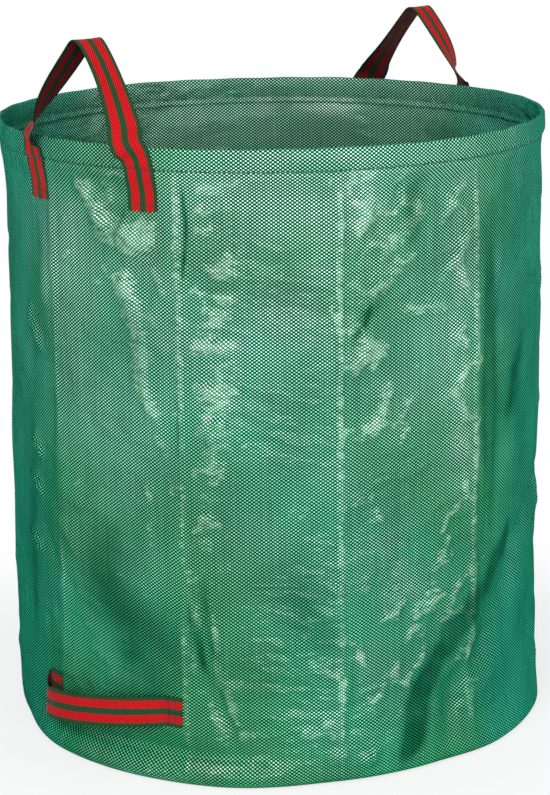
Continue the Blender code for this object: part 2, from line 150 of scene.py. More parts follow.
# Emptying handle
GRIP_LEFT_HEIGHT = 0.078
GRIP_RIGHT_HEIGHT = 0.088
GRIP_RIGHT_AZIMUTH = radians(-22.6)
GRIP_LEFT_AZIMUTH = radians(-55.4)
GRIP_RIGHT_TAB = 0.021
GRIP_LEFT_TAB = 0.024
GRIP_ENDS = (
    ("left", GRIP_LEFT_AZIMUTH, GRIP_LEFT_TAB, GRIP_LEFT_HEIGHT),
    ("right", GRIP_RIGHT_AZIMUTH, GRIP_RIGHT_TAB, GRIP_RIGHT_HEIGHT),
)
GRIP_TURN_RADIUS = 0.0036
GRIP_TURN_DROP = 0.018
GRIP_RIGHT_SLOPE = radians(22.0)
GRIP_LEFT_SLOPE = radians(36.0)
GRIP_DRAPE = 0.006
GRIP_RISE_POWER = 1.3


def as_folds(rows, last_scale=10000):
    """Folds as straight lines on the wall, from rows of whole numbers.

    Each row has the azimuth in tenths of a degree and the height in millimetres of both ends, the
    half width in tenths of a millimetre, and a last value by its own scale. The result has degrees
    and metres.
    """
    return np.array(rows) / (10, 1000, 10, 1000, 10000, last_scale)


# Folds that the cloth has kept. The last value is how far one stands out, in tenths of a millimetre.
KEPT_FOLDS = as_folds([
    (-421, 716, -337, 650, 80, 26), (-390, 716, -355, 690, 60, 16), (-337, 662, -225, 646, 110, 30),
    (-213, 646, -303, 618, 70, -26), (-310, 612, -275, 585, 60, 14), (-245, 600, -265, 560, 70, -16),
    (-300, 640, -254, 444, 130, 17), (-170, 536, -70, 536, 60, 17), (-165, 524, -75, 523, 80, -13),
    (-152, 721, -42, 718, 50, 9), (-150, 687, -56, 690, 70, 11), (-142, 621, -58, 618, 60, 12),
    (-144, 575, -75, 569, 60, 10), (-158, 484, -68, 474, 70, 12), (-159, 437, -83, 427, 70, 12),
    (-165, 390, -90, 380, 80, 11), (302, 730, 252, 683, 50, -22), (252, 683, 183, 652, 60, -18),
    (203, 662, 267, 694, 60, 16), (216, 628, 258, 664, 60, 13), (258, 572, 404, 568, 60, 28),
    (148, 543, 190, 564, 50, 14), (162, 503, 203, 533, 80, 15), (156, 337, 215, 353, 50, 16),
    (361, 254, 404, 292, 60, 14), (299, 195, 367, 204, 60, 12), (215, 113, 269, 123, 50, 13),
    (700, 270, 520, 150, 220, -60), (540, 170, 360, 20, 220, -75), (440, 245, 350, 165, 70, 16),
    (380, 235, 300, 200, 60, 12), (340, 160, 270, 112, 60, 15), (425, 330, 360, 285, 60, 13),
    (445, 715, 360, 655, 70, 20), (450, 660, 355, 590, 80, 21), (448, 545, 375, 520, 60, 14),
    (446, 500, 365, 455, 70, 19), (446, 430, 380, 405, 60, 13), (330, 700, 240, 630, 100, 18),
    (310, 640, 200, 585, 100, 18), (210, 720, 170, 655, 80, 16), (260, 490, 175, 415, 110, 19),
    (320, 470, 240, 425, 90, 14), (-166, 268, -121, 121, 60, -22), (-121, 121, -70, 40, 70, -26),
    (-140, 220, -76, 80, 100, 20), (-477, 324, -343, 315, 60, 12), (-469, 199, -386, 159, 70, 16),
    (-428, 154, -342, 110, 80, 17), (-379, 262, -256, 224, 90, 13), (-560, 330, -430, 250, 90, 19),
    (-600, 300, -470, 215, 80, -18), (93, 84, 133, 50, 50, 16), (176, 20, 215, 50, 50, 20),
    (52, 66, 154, 30, 60, 15), (555, 628, 503, 525, 80, 12), (747, 533, 543, 460, 90, 14),
    (840, 330, 660, 250, 100, -20), (880, 300, 700, 230, 80, 18), (54, 204, 145, 231, 60, 12),
    (295, 184, 389, 219, 90, 24), (336, 247, 407, 267, 60, 18), (226, 122, 271, 140, 60, 18),
    (191, 100, 235, 106, 50, 18), (52, 66, 128, 87, 80, 18), (182, 14, 222, 41, 60, 28),
    (112, 25, 159, 42, 50, 18), (151, 705, 171, 731, 60, 20), (179, 659, 203, 692, 90, 26),
    (164, 496, 201, 541, 90, 26), (203, 585, 224, 604, 60, 20), (141, 729, 136, 605, 22, 16),
    (134, 565, 131, 448, 16, 10), (97, 715, 128, 720, 80, 16), (274, 170, 342, 177, 70, 18),
    (255, 215, 311, 226, 70, 14), (145, 504, 162, 526, 50, 14), (118, 588, 134, 553, 40, 12),
    (-365, 622, -287, 583, 70, 16), (-378, 687, -360, 653, 100, 22), (-310, 581, -217, 552, 90, 16),
    (-423, 716, -379, 686, 70, 28), (-379, 686, -340, 654, 120, 36), (-340, 652, -230, 648, 130, 36),
    (-308, 619, -275, 549, 120, 26), (-275, 549, -254, 444, 110, 18), (-235, 629, -203, 587, 60, 20),
    (-539, 676, -519, 529, 140, 18), (-197, 757, -176, 726, 60, 16), (-69, 638, -89, 617, 70, 18),
    (-160, 536, -64, 535, 55, 34), (-134, 575, -71, 569, 60, 24), (-122, 621, -58, 618, 70, 24),
    (-146, 473, -78, 465, 100, 22), (-139, 437, -87, 432, 90, 22), (-147, 662, -103, 667, 70, 18),
    (159, 741, 212, 723, 90, 30), (161, 702, 232, 679, 90, 26), (203, 655, 250, 637, 80, 24),
    (400, 630, 441, 577, 70, 30), (394, 530, 440, 513, 60, 28), (174, 542, 237, 513, 110, 24),
    (401, 461, 445, 423, 70, 22), (162, 603, 199, 589, 50, 20), (-149, 711, -59, 717, 60, 24),
    (-145, 689, -106, 685, 50, 22), (-112, 633, -54, 638, 50, 24), (-157, 600, -121, 594, 50, 20),
    (-117, 592, -59, 590, 50, 24), (-151, 554, -103, 560, 40, 22), (-164, 534, -60, 533, 45, 34),
    (-124, 511, -69, 514, 50, 26), (-157, 491, -113, 488, 50, 24), (-113, 478, -58, 482, 50, 26),
    (-159, 451, -83, 446, 50, 24), (-131, 419, -76, 415, 50, 24), (-161, 389, -108, 393, 50, 22),
    (-150, 354, -90, 348, 50, 20), (-160, 305, -115, 299, 50, 20), (-225, 386, -192, 351, 60, 20),
    (-241, 433, -208, 387, 70, 20), (-265, 490, -227, 433, 70, 20), (-350, 718, -328, 689, 70, 28),
    (-296, 661, -216, 671, 70, 26), (370, 694, 436, 669, 60, 24), (271, 700, 331, 676, 80, 16),
    (391, 404, 443, 384, 60, 22), (420, 352, 457, 323, 50, 22), (-659, 336, -555, 313, 60, 50),
    (-660, 271, -547, 243, 60, 45), (-622, 392, -557, 361, 60, 45), (-625, 554, -564, 497, 70, 40),
    (-125, 326, -92, 324, 31, 26), (-143, 440, -125, 436, 48, 26), (-127, 490, -97, 481, 46, 26),
    (-118, 445, -86, 449, 31, 26), (-133, 479, -87, 484, 42, 26), (-115, 491, -71, 498, 30, 26),
    (-123, 555, -91, 557, 34, 26), (-151, 326, -123, 324, 43, 26), (-143, 327, -121, 327, 44, 26),
    (-138, 411, -113, 415, 47, 26), (-164, 313, -135, 322, 37, 26), (-116, 399, -92, 384, 42, 26),
    (-127, 425, -105, 425, 32, 26), (-129, 376, -101, 372, 33, 26), (-147, 327, -118, 334, 41, 26),
    (-120, 272, -80, 267, 33, 26), (233, 229, 264, 225, 43, 24), (259, 414, 291, 429, 42, 24),
    (224, 199, 271, 201, 52, 24), (179, 242, 200, 244, 36, 24), (248, 235, 271, 232, 39, 24),
    (211, 336, 230, 321, 40, 24), (205, 507, 224, 516, 41, 24), (257, 212, 290, 210, 46, 24),
])
# Hollows in painted shade, with a share in hundredths as the last value. Below 0, a painted pale sheen
# instead.
SHADED_FOLDS = as_folds([
    (-176, 733, -180, 230, 22, 80), (-44, 284, 114, 183, 300, 35), (307, 739, 280, 624, 140, 60),
    (267, 620, 162, 550, 100, 50), (191, 735, 207, 642, 200, -60), (-158, 736, 120, 726, 200, -30),
    (-449, 303, -172, 118, 450, 65), (-170, 231, -121, 121, 50, 100), (-358, 163, -217, 102, 200, 40),
    (-627, 366, -653, 114, 120, 45), (-499, 315, -498, 194, 60, -60), (-422, 77, -153, 56, 120, 35),
    (57, 379, 113, 120, 300, 25), (160, 315, 352, 204, 400, -75), (52, 95, 154, 57, 220, -60),
    (-232, 694, -205, 446, 280, -45), (418, 709, 427, 277, 190, -100), (504, 712, 521, 237, 100, 55),
    (163, 717, 263, 581, 300, -55), (-155, 554, -75, 427, 260, -50), (-129, 703, 119, 696, 500, -45),
    (-524, 672, -531, 491, 120, -70), (159, 180, 246, 110, 300, -45), (-535, 4, -51, 16, 140, -50),
    (578, 176, 452, 9, 500, 42), (630, 547, 665, 265, 300, 45), (-592, 678, -685, 107, 200, 35),
    (606, 281, 477, 193, 140, 110), (476, 211, 363, 140, 130, 220), (368, 149, 270, 8, 130, 220),
    (-168, 738, -174, 582, 35, 120), (-173, 553, -180, 388, 30, 60), (477, 714, 492, 242, 110, 60),
    (-484, 639, -531, 240, 100, 50), (155, 725, 150, 547, 28, 90), (220, 682, 152, 623, 40, 90),
    (207, 584, 158, 535, 40, 80), (263, 639, 203, 596, 60, 50), (-287, 698, -322, 625, 50, 60),
    (-164, 523, -57, 523, 35, 80), (685, 504, 571, 394, 100, 50), (115, 281, 161, 345, 100, 50),
    (159, 180, 146, 30, 60, 50), (-145, 281, -105, 122, 60, 50), (364, 83, 449, 127, 80, 30),
], last_scale=100)
KEPT_GAIN = 1.7
DENT_GAIN = 1.6
DENT_SEED = 11
DENTS = 460

# Pale film, partly wear and partly painted highlight: what relief and what ridge turn it pale, and how
# much less on creases and low at the left
WEAR_AND_HIGHLIGHT_RELIEF = 0.0011
WEAR_AND_HIGHLIGHT_RIDGE = 0.0022
CREASE_WEAR_AND_HIGHLIGHT_LOSS = 0.05
LOW_LEFT_WEAR_AND_HIGHLIGHT_LOSS = 0.7
# A painted pale sheen along every storage crease, as a share taken off the fold shading
CREASE_PAINTED_SHEEN = 0.45

# Camera, as the photograph looks at the bag: its place, and where it points
CAMERA_PLACE = (0.0419, -2.795, 1.1285)
CAMERA_YAW = -0.0147
CAMERA_PITCH = 0.2586
CAMERA_ROLL = -0.0127
SENSOR_HEIGHT = 36.0
FOCAL_LENGTH = 2253.0 * SENSOR_HEIGHT / 795.0
FLOOR_REACH = 14.0
BAG_MIDDLE = (0.0, 0.0, 0.42)

UP = np.array([0.0, 0.0, 1.0])

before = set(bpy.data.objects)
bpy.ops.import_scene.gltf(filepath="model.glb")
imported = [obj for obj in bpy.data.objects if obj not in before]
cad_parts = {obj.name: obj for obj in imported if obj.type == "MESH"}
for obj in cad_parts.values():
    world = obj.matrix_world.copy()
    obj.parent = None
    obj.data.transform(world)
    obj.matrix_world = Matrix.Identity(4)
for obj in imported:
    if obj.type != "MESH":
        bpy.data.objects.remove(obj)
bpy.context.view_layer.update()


# ---------------------------------------------------------------- curves and directions


def smooth(share):
    """0 before 0, 1 after 1, and an even S between them."""
    share = np.clip(share, 0.0, 1.0)
    return share * share * (3.0 - 2.0 * share)


def unit(vectors):
    return vectors / np.linalg.norm(vectors, axis=-1, keepdims=True)


def running(steps):
    """The run so far at each point of a line, from its steps."""
    return np.concatenate([[0.0], np.cumsum(steps)])


def lengths_along(points):
    return running(np.linalg.norm(np.diff(points, axis=0), axis=1))


def shares(count):
    """Even shares of a run, as a column that ends on 1 and leaves out the start."""
    return np.linspace(0.0, 1.0, count + 1)[1:, None]


def ring(count):
    """Azimuths all the way round from the back, without the last, which is the first again."""
    return np.linspace(-np.pi, np.pi, count + 1)[:-1]


def around(azimuth, radius, z):
    """Points at an azimuth from the front towards +X, a radius from the bag's axis, and a height."""
    azimuth, radius, z = np.broadcast_arrays(azimuth, radius, z)
    return np.stack([radius * np.sin(azimuth), -radius * np.cos(azimuth), z], axis=-1)


def directions(azimuth):
    """Along the rim towards +X at the front, and straight out from the bag."""
    azimuth = np.asarray(azimuth, dtype=float)
    level = np.zeros_like(azimuth)
    along = np.stack([np.cos(azimuth), np.sin(azimuth), level], axis=-1)
    out = np.stack([np.sin(azimuth), -np.cos(azimuth), level], axis=-1)
    return along, out


def turn_between(azimuth, centre):
    """The signed angle from a centre to an azimuth, the short way round."""
    return np.mod(azimuth - centre + np.pi, 2.0 * np.pi) - np.pi


def at_marks(marks, run, values):
    """Points or directions along a line, read off at marks on its run."""
    return np.stack([np.interp(marks, run, values[:, axis]) for axis in range(3)], axis=-1)


def evenly(points, step):
    """The same line, with its points an even step apart."""
    run = lengths_along(points)
    return at_marks(np.linspace(0.0, run[-1], int(round(run[-1] / step)) + 1), run, points)


def cubic(start, first, last, end, share):
    """A smooth cubic from a start to an end, drawn towards a first and a last handle point."""
    early = (1.0 - share) ** 3 * start + 3.0 * (1.0 - share) ** 2 * share * first
    late = 3.0 * (1.0 - share) * share**2 * last + share**3 * end
    return early + late


def square_to(ahead, across):
    """Directions across a line, turned to be square to the way ahead."""
    return unit(across - np.sum(across * ahead, axis=1, keepdims=True) * ahead)


def profile_sides(profile):
    """Square to a profile[row, column] of radii and heights, to its left on the way down the rows."""
    ahead = unit(np.gradient(profile, axis=0))
    return np.stack([ahead[..., 1], -ahead[..., 0]], axis=-1)


def eased(values, reach):
    """Values along a line, each averaged with its neighbours inside a reach, the two ends kept."""
    weights = np.exp(-0.5 * (np.arange(-2 * reach, 2 * reach + 1) / (0.7 * reach)) ** 2)
    weights /= weights.sum()
    padded = np.concatenate(
        [
            2 * values[:1] - values[1 : 2 * reach + 1][::-1],
            values,
            2 * values[-1:] - values[-2 * reach - 1 : -1][::-1],
        ]
    )
    columns = [np.convolve(padded[:, axis], weights, mode="valid") for axis in range(values.shape[1])]
    return np.stack(columns, axis=-1)


# ---------------------------------------------------------------- the cloth's shape


def crease_azimuths():
    """The creases at the front, and then those that share the rest of the way round."""
    front = FRONT_CREASE_AZIMUTH + FRONT_PANEL_ANGLE * np.arange(FRONT_PANELS)
    back_start = FRONT_CREASE_AZIMUTH + FRONT_PANEL_ANGLE * FRONT_PANELS
    back_end = FRONT_CREASE_AZIMUTH + 2.0 * np.pi
    return np.concatenate([front, np.linspace(back_start, back_end, BACK_PANELS + 1)])


def panel_hollow(azimuth):
    """0 on a crease, 1 in the middle of a panel, and half as much again for the flat front panels."""
    creases = crease_azimuths()
    turned = creases[0] + np.mod(azimuth - creases[0], 2.0 * np.pi)
    panel = np.clip(np.searchsorted(creases, turned, side="right") - 1, 0, len(creases) - 2)
    share = (turned - creases[panel]) / (creases[panel + 1] - creases[panel])
    return 4.0 * share * (1.0 - share) * np.where(panel < FRONT_PANELS, 1.5, 1.0)


def crease_line(azimuth):
    """1 on a storage crease, falling away within a few millimetres of it."""
    gap = np.full(np.shape(azimuth), 1.0)
    for crease in crease_azimuths()[:-1]:
        gap = np.minimum(gap, np.abs(turn_between(azimuth, crease)))
    return np.exp(-((gap * RIM_RADIUS / CREASE_REACH) ** 2))


def seam_step(azimuth):
    """1 on the doubled cloth of the lap seam, 0 elsewhere."""
    off = np.abs(turn_between(azimuth, SEAM_AZIMUTH)) * RIM_RADIUS
    return 1.0 - smooth((off - SEAM_WIDTH / 2) / SEAM_FLANK)


def base_radius(azimuth, z):
    """The calm shape: a belly, a faint waist and the pinch at the stitching, flattened by panel."""
    radius = BELLY_RADIUS + (WAIST_RADIUS - BELLY_RADIUS) * smooth(
        (z - BELLY_HEIGHT) / (WAIST_Z - BELLY_HEIGHT)
    )
    radius = radius + (STITCH_RADIUS - WAIST_RADIUS) * smooth((z - WAIST_Z) / (STITCH_Z - WAIST_Z))
    lean = smooth((z - 0.25) / 0.2) * (1.0 - smooth((z - 0.66) / 0.07))
    radius = radius + 0.003 * lean * np.sin(azimuth)
    fade = smooth((z - 0.02) / 0.12) * (1.0 - smooth((z - WAIST_Z) / (STITCH_Z - WAIST_Z)))
    return radius - PANEL_FLATTENING * fade * panel_hollow(azimuth)


def near(azimuth, z, centre, height, half_wide, half_high, soft=0.012):
    """1 inside a rectangle on the wall, fading to 0 within a soft margin round it."""
    off = np.abs(turn_between(azimuth, centre)) * RIM_RADIUS - half_wide
    return (1.0 - smooth(off / soft)) * (1.0 - smooth((np.abs(z - height) - half_high) / soft))


def foot_azimuth(handle, side, share=1.0):
    """Where a carry handle's left (-1) or right (1) sewn end is, with a share of its foot's shift."""
    shift = handle["foot_shifts"][0 if side < 0 else 1]
    return handle["azimuth"] + handle["half_angle"] * side + shift * share


def held_flat(azimuth, z):
    """1 where a sewn strap end holds the cloth flat."""
    tab = (STITCH_Z - TAB_LENGTH / 2, STRAP_WIDTH / 2, TAB_LENGTH / 2)
    held = [
        near(azimuth, z, foot_azimuth(handle, side), *tab)
        for handle in (FRONT_HANDLE, REAR_HANDLE)
        for side in (-1.0, 1.0)
    ]
    for _, start, length, height in GRIP_ENDS:
        centre = start + length / 2 / RIM_RADIUS
        held.append(near(azimuth, z, centre, height, length / 2, STRAP_WIDTH / 2))
    return np.max(held, axis=0)


def over_grip_tabs(azimuth, z):
    """1 on the cloth that comes down behind the emptying handle's ends as the bag folds flat."""
    covered = []
    for _, start, length, _ in GRIP_ENDS:
        centre = start + length / 2 / RIM_RADIUS
        covered.append(near(azimuth, z, centre, 0.26, length / 2 + TAB_MARGIN, 0.14))
    return np.max(covered, axis=0)


def ridges(azimuth, z, table):
    """The sum of soft ridges, each a line with a bell-shaped section and tapered ends."""
    total = np.zeros(np.broadcast(azimuth, z).shape)
    for start, low, end, high, half_width, height in table:
        middle = radians((start + end) / 2)
        across = turn_between(azimuth, middle) * RIM_RADIUS
        rise = z - (low + high) / 2
        run = np.array([radians(end - start) * RIM_RADIUS, high - low])
        half = np.linalg.norm(run) / 2
        run = run / (2 * half)
        close = (np.abs(across) < half + 4 * half_width) & (np.abs(rise) < half + 4 * half_width)
        along = (across * run[0] + rise * run[1])[close]
        off = (rise * run[0] - across * run[1])[close]
        bow = 0.16 * np.sin(1.7 * start + 40.0 * low) * min(half, 0.035)
        bow = bow * (1.0 - np.clip(along / half, -1.0, 1.0) ** 2)
        bow = bow + 0.3 * half_width * np.sin(5.0 * along / half + start)
        taper = 1.0 - smooth((np.abs(along) - 0.35 * half) / (0.65 * half + half_width))
        blunt = min(max(half_width / 0.012, 0.3), 1.2)
        spread = np.hypot((off - bow) / half_width, blunt) - blunt
        total[close] += height * taper * np.exp(-(1.2 + blunt) * spread)
    return total


def dent_table():
    """Small dents and folds, mostly level ones beside the creases and slanting ones low down."""
    chance = np.random.RandomState(DENT_SEED)
    creases = np.degrees(crease_azimuths()[:-1])
    beside = creases[chance.randint(0, len(creases), DENTS)] + chance.normal(2.0, 4.5, DENTS)
    anywhere = chance.uniform(-180.0, 180.0, DENTS)
    azimuth = np.where(chance.uniform(size=DENTS) < 0.6, beside, anywhere)
    z = 0.04 + 0.66 * chance.uniform(size=DENTS)
    low_down = 1.0 - smooth((z - 0.1) / 0.35)
    slant = chance.normal(0.0, 0.35, DENTS) + low_down * chance.choice([-0.9, 0.9], DENTS)
    half = chance.uniform(0.006, 0.024, DENTS) * (1.0 + 1.0 * low_down)
    half_width = chance.uniform(0.003, 0.0075, DENTS) * (1.0 + 0.4 * low_down)
    height = half_width * chance.uniform(0.05, 0.14, DENTS) * chance.choice([-1.0, 1.0], DENTS)
    turn = np.degrees(half * np.cos(slant) / RIM_RADIUS)
    rise = half * np.sin(slant)
    return np.stack([azimuth - turn, z - rise, azimuth + turn, z + rise, half_width, height], axis=-1)


DENT_TABLE = dent_table()


def billow(azimuth, z):
    """Slow swells that differ from panel to panel, as whole waves round the bag."""
    return (
        0.0008 * np.sin(5 * azimuth + 9.0 * z + 0.6)
        + 0.0007 * np.sin(9 * azimuth - 15.0 * z + 2.1)
        + 0.0005 * np.sin(14 * azimuth + 31.0 * z + 4.0)
        + 0.0004 * np.sin(23 * azimuth - 47.0 * z + 1.3)
    )


def slumped(azimuth):
    """1 at the front left, where the slack cloth has settled into a roll on the floor."""
    off = np.degrees(azimuth)
    return smooth((off + 72.0) / 22.0) * (1.0 - smooth((off + 12.0) / 26.0))


def wrinkles(azimuth, z):
    """How far the cloth stands out from its calm shape."""
    free = 1.0 - held_flat(azimuth, z)
    ends = smooth((STITCH_Z - z) / 0.030) * smooth(z / 0.030)
    kept = KEPT_GAIN * ridges(azimuth, z, KEPT_FOLDS) + DENT_GAIN * ridges(azimuth, z, DENT_TABLE)
    raised = CREASE_RISE * crease_line(azimuth)
    folds = free * ends * (kept + raised + billow(azimuth, z))
    return folds - np.maximum(folds, 0.0) * over_grip_tabs(azimuth, z)


def spread_foot(azimuth):
    """1 at the front right, where the foot of the wall spreads over the floor."""
    off = np.degrees(azimuth)
    return smooth((off - 34.0) / 20.0) * (1.0 - smooth((off - 74.0) / 24.0))


def slump(azimuth, z):
    """The settled roll: a hollow above a rounded bulge that rests on the floor."""
    hollow = -0.0040 * np.exp(-(((z - 0.043) / 0.012) ** 2))
    hollow = hollow - 0.0042 * np.exp(-(((z - 0.037) / 0.0042) ** 2))
    bulge = 0.0110 * np.exp(-(((z - 0.012) / 0.015) ** 2))
    spread = 0.0085 * np.exp(-((z / 0.030) ** 2))
    return slumped(azimuth) * (hollow + bulge) + spread_foot(azimuth) * spread


def cloth_radius(azimuth, z):
    """The wall's outer face, with everything on it."""
    return base_radius(azimuth, z) + wrinkles(azimuth, z) + slump(azimuth, z)


def hem_radius(azimuth, z):
    """The hem's outer face: pinched at the stitching and full over the hoop, with small puckers."""
    rise = np.clip((z - STITCH_Z) / HEM_PINCH_RISE, 0.0, 1.0)
    full = np.sin(rise * np.pi / 2)
    plump = 0.0007 * np.sin(np.clip((z - STITCH_Z) / (BAG_HEIGHT - STITCH_Z), 0, 1) * np.pi)
    pucker = 0.00035 * np.sin(HEM_PUCKERS * azimuth) + 0.0003 * np.sin(61 * azimuth + 1.0)
    fade = 1.0 - smooth((z - STITCH_Z) / 0.020)
    return STITCH_RADIUS + (RIM_RADIUS - STITCH_RADIUS) * full + plump + pucker * fade


def seat_radius(azimuth, z):
    """What a strap lies on: the cloth wall up to the stitching, then the hem."""
    on_hem = hem_radius(azimuth, np.maximum(z, STITCH_Z))
    return np.where(z < STITCH_Z, cloth_radius(azimuth, z), on_hem)


# ---------------------------------------------------------------- meshes


def fill(collection, label, values, kind=np.float32):
    """Sets one value, or one row of values, on every item of a mesh's collection."""
    collection.foreach_set(label, np.ascontiguousarray(values, dtype=kind).ravel())


def put_mesh(name, points, faces, uv, material, extras=(), cut=None):
    """One mesh object from its points, its faces, and where each corner of a face is on the cloth.

    Faces and uv are lists of whole arrays, one for each number of corners. The extras are marks on the
    points by name, and edges between two points of a cut stay sharp.
    """
    mesh = bpy.data.meshes.new(name)
    mesh.vertices.add(len(points))
    fill(mesh.vertices, "co", points)
    corners = np.concatenate([part.ravel() for part in faces])
    sizes = np.concatenate([np.full(len(part), part.shape[1]) for part in faces])
    mesh.loops.add(len(corners))
    fill(mesh.loops, "vertex_index", corners, np.int32)
    mesh.polygons.add(len(sizes))
    fill(mesh.polygons, "loop_start", running(sizes)[:-1], np.int32)
    mesh.update(calc_edges=True)
    places = np.concatenate([part.reshape(-1, 2) for part in uv])
    fill(mesh.uv_layers.new(name="cloth_metres").data, "uv", places)
    for label, values in extras:
        fill(mesh.attributes.new(label, "FLOAT", "POINT").data, "value", values)
    mesh.shade_smooth()
    if cut is not None:
        ends = np.zeros(2 * len(mesh.edges), dtype=np.int32)
        mesh.edges.foreach_get("vertices", ends)
        sharp = cut[ends.reshape(-1, 2)].all(axis=1)
        fill(mesh.attributes.new("sharp_edge", "BOOLEAN", "EDGE").data, "value", sharp, bool)
    mesh.materials.append(material)
    if mesh.validate():
        raise RuntimeError(f"{name}: the mesh has faces that aren't whole")
    piece = bpy.data.objects.new(name, mesh)
    bpy.context.scene.collection.objects.link(piece)
    return piece


def grid_quads(rows, columns, wide, tall):
    """Corners of the quads of a grid, as numbers of points; the grid may close on itself either way."""
    row, column = np.meshgrid(np.arange(tall), np.arange(wide), indexing="ij")
    after, beside = (row + 1) % rows, (column + 1) % columns
    corners = [row * columns + column, row * columns + beside]
    corners += [after * columns + beside, after * columns + column]
    return np.stack(corners, axis=-1).reshape(-1, 4)


def surface(name, points, uv, material, extras=()):
    """A grid of quads through points[row, column], with its place on the cloth in metres.

    Where the grid closes on itself, the uv has one more row or column than the points.
    """
    rows, columns = points.shape[:2]
    tall, wide = uv.shape[0] - 1, uv.shape[1] - 1
    quads = grid_quads(rows, columns, wide, tall)
    corners = grid_quads(tall + 1, wide + 1, wide, tall)
    flat = [(label, np.broadcast_to(values, points.shape[:2])) for label, values in extras]
    return put_mesh(name, points.reshape(-1, 3), [quads], [uv.reshape(-1, 2)[corners]], material, flat)


def many(name, points, uv, material):
    """Many grids of the same size in one mesh: points[which, row, column], closed round each row."""
    count, rows, columns = points.shape[:3]
    quads = grid_quads(rows, columns, columns, rows - 1)
    shifted = quads[None] + (np.arange(count) * rows * columns)[:, None, None]
    spread = np.broadcast_to(uv.reshape(count, 1, 1, 2), (count, len(quads), 4, 2))
    return put_mesh(name, points.reshape(-1, 3), [shifted.reshape(-1, 4)], [spread], material)


def ribbon_outline():
    """Webbing's section as shares of its width and thickness: flat faces and rounded selvedges.

    The third column is the place across the webbing that shows there, in metres.
    """
    flat = np.linspace(-1.0, 1.0, 9)
    wide = STRAP_WIDTH / 2 - STRAP_THICKNESS / 2
    bulge = np.radians([60.0, 20.0, -20.0, -60.0])
    right = np.stack([wide + STRAP_THICKNESS / 2 * np.cos(bulge), STRAP_THICKNESS / 2 * np.sin(bulge)])
    face = np.stack([wide * flat, np.full(9, STRAP_THICKNESS / 2)])
    return np.concatenate([face, right, -face, -right], axis=1).T


def ribbon(name, centres, across, material, outer=1.0, upright=False):
    """Webbing carried along a line: its section turned to lie across it, with closed ends.

    Where it shows on the webbing is the way along the line and the way across, in metres. The reverse
    of the webbing is marked. An upright ribbon keeps its width upright where its line drops.
    """
    ahead = unit(np.gradient(centres, axis=0))
    if not upright:
        across = square_to(ahead, across)
    face = unit(np.cross(across, ahead))
    outline = ribbon_outline()
    run = lengths_along(centres)
    wide = across[:, None, :] * outline[None, :, :1]
    thick = face[:, None, :] * outline[None, :, 1:]
    points = centres[:, None, :] + wide + thick
    closing = centres[:, None, :] + wide
    points = np.concatenate([closing[:1], points, closing[-1:]])
    run = np.concatenate([run[:1], run, run[-1:]])
    sides = np.append(outline[:, 0], outline[0, 0])
    uv = np.stack(np.broadcast_arrays(sides[None, :], run[:, None]), axis=-1)
    reverse = (outline[:, 1] * outer < 0.0).astype(float)
    return surface(name, points, uv, material, [("reverse_face", reverse[None, :])])


def rods(centre, first, second, girth, sides):
    """Round rods about lines centre[which, along], as rings in two directions square to them."""
    turn = np.linspace(0.0, 2.0 * np.pi, sides + 1)[:-1]
    round_it = first[..., None, :] * np.cos(turn)[:, None] + second[..., None, :] * np.sin(turn)[:, None]
    return centre[:, :, None, :] + round_it * girth[None, :, None, None]


def stitch_row(name, line, normals, material, length=0.0034, pitch=0.0045, thick=0.00042):
    """A row of stitches along a line: each a short rounded rod that dips into the cloth at its ends."""
    run = lengths_along(line)
    count = int(run[-1] // pitch)
    start = (run[-1] - count * pitch) / 2 + (pitch - length) / 2
    share = np.linspace(0.0, 1.0, 6)
    marks = start + np.arange(count)[:, None] * pitch + share[None, :] * length
    centre, normal = at_marks(marks, run, line), unit(at_marks(marks, run, normals))
    beside = unit(np.cross(unit(np.gradient(centre, axis=1)), normal))
    bow = np.sqrt(np.clip(1.0 - (2.0 * share - 1.0) ** 2, 0.0, 1.0))
    lift = thick * (0.9 * bow - 0.5)
    girth = thick * np.clip(0.25 + bow, 0.0, 1.0)
    points = rods(centre + normal * lift[None, :, None], beside, normal, girth, 6)
    return many(name, points, np.zeros((count, 2)), material)


def frayed_end(name, place, across, ahead, face, material, count=44, seed=3):
    """Loose yarns at a cut end of webbing: short rods that fan out a little from the edge."""
    chance = np.random.RandomState(seed)
    side = np.linspace(-0.5, 0.5, count) * (STRAP_WIDTH - 0.001)
    length = chance.uniform(0.0008, 0.0032, count)
    spread = chance.normal(0.0, 0.18, count)
    lift = chance.normal(0.0, 0.10, count)
    depth = chance.uniform(-0.3, 0.3, count) * STRAP_THICKNESS
    share = np.linspace(0.0, 1.0, 4)
    root = place + side[:, None] * across + depth[:, None] * face
    lean = unit(ahead + spread[:, None] * across + lift[:, None] * face)
    centre = root[:, None, :] + (share[None, :] * length[:, None])[:, :, None] * lean[:, None, :]
    points = rods(centre, across, face, 0.00026 * (1.0 - 0.75 * share), 4)
    return many(name, points, np.stack([side, length], axis=-1), material)


# ---------------------------------------------------------------- materials


def group(name, inputs, outputs):
    """A new group of shader nodes with its sockets, and its two ends."""
    made = bpy.data.node_groups.new(name, "ShaderNodeTree")
    for label, kind, default in inputs:
        socket = made.interface.new_socket(label, in_out="INPUT", socket_type=kind)
        if default is not None:
            socket.default_value = default
    for label, kind in outputs:
        made.interface.new_socket(label, in_out="OUTPUT", socket_type=kind)
    return made, made.nodes.new("NodeGroupInput"), made.nodes.new("NodeGroupOutput")


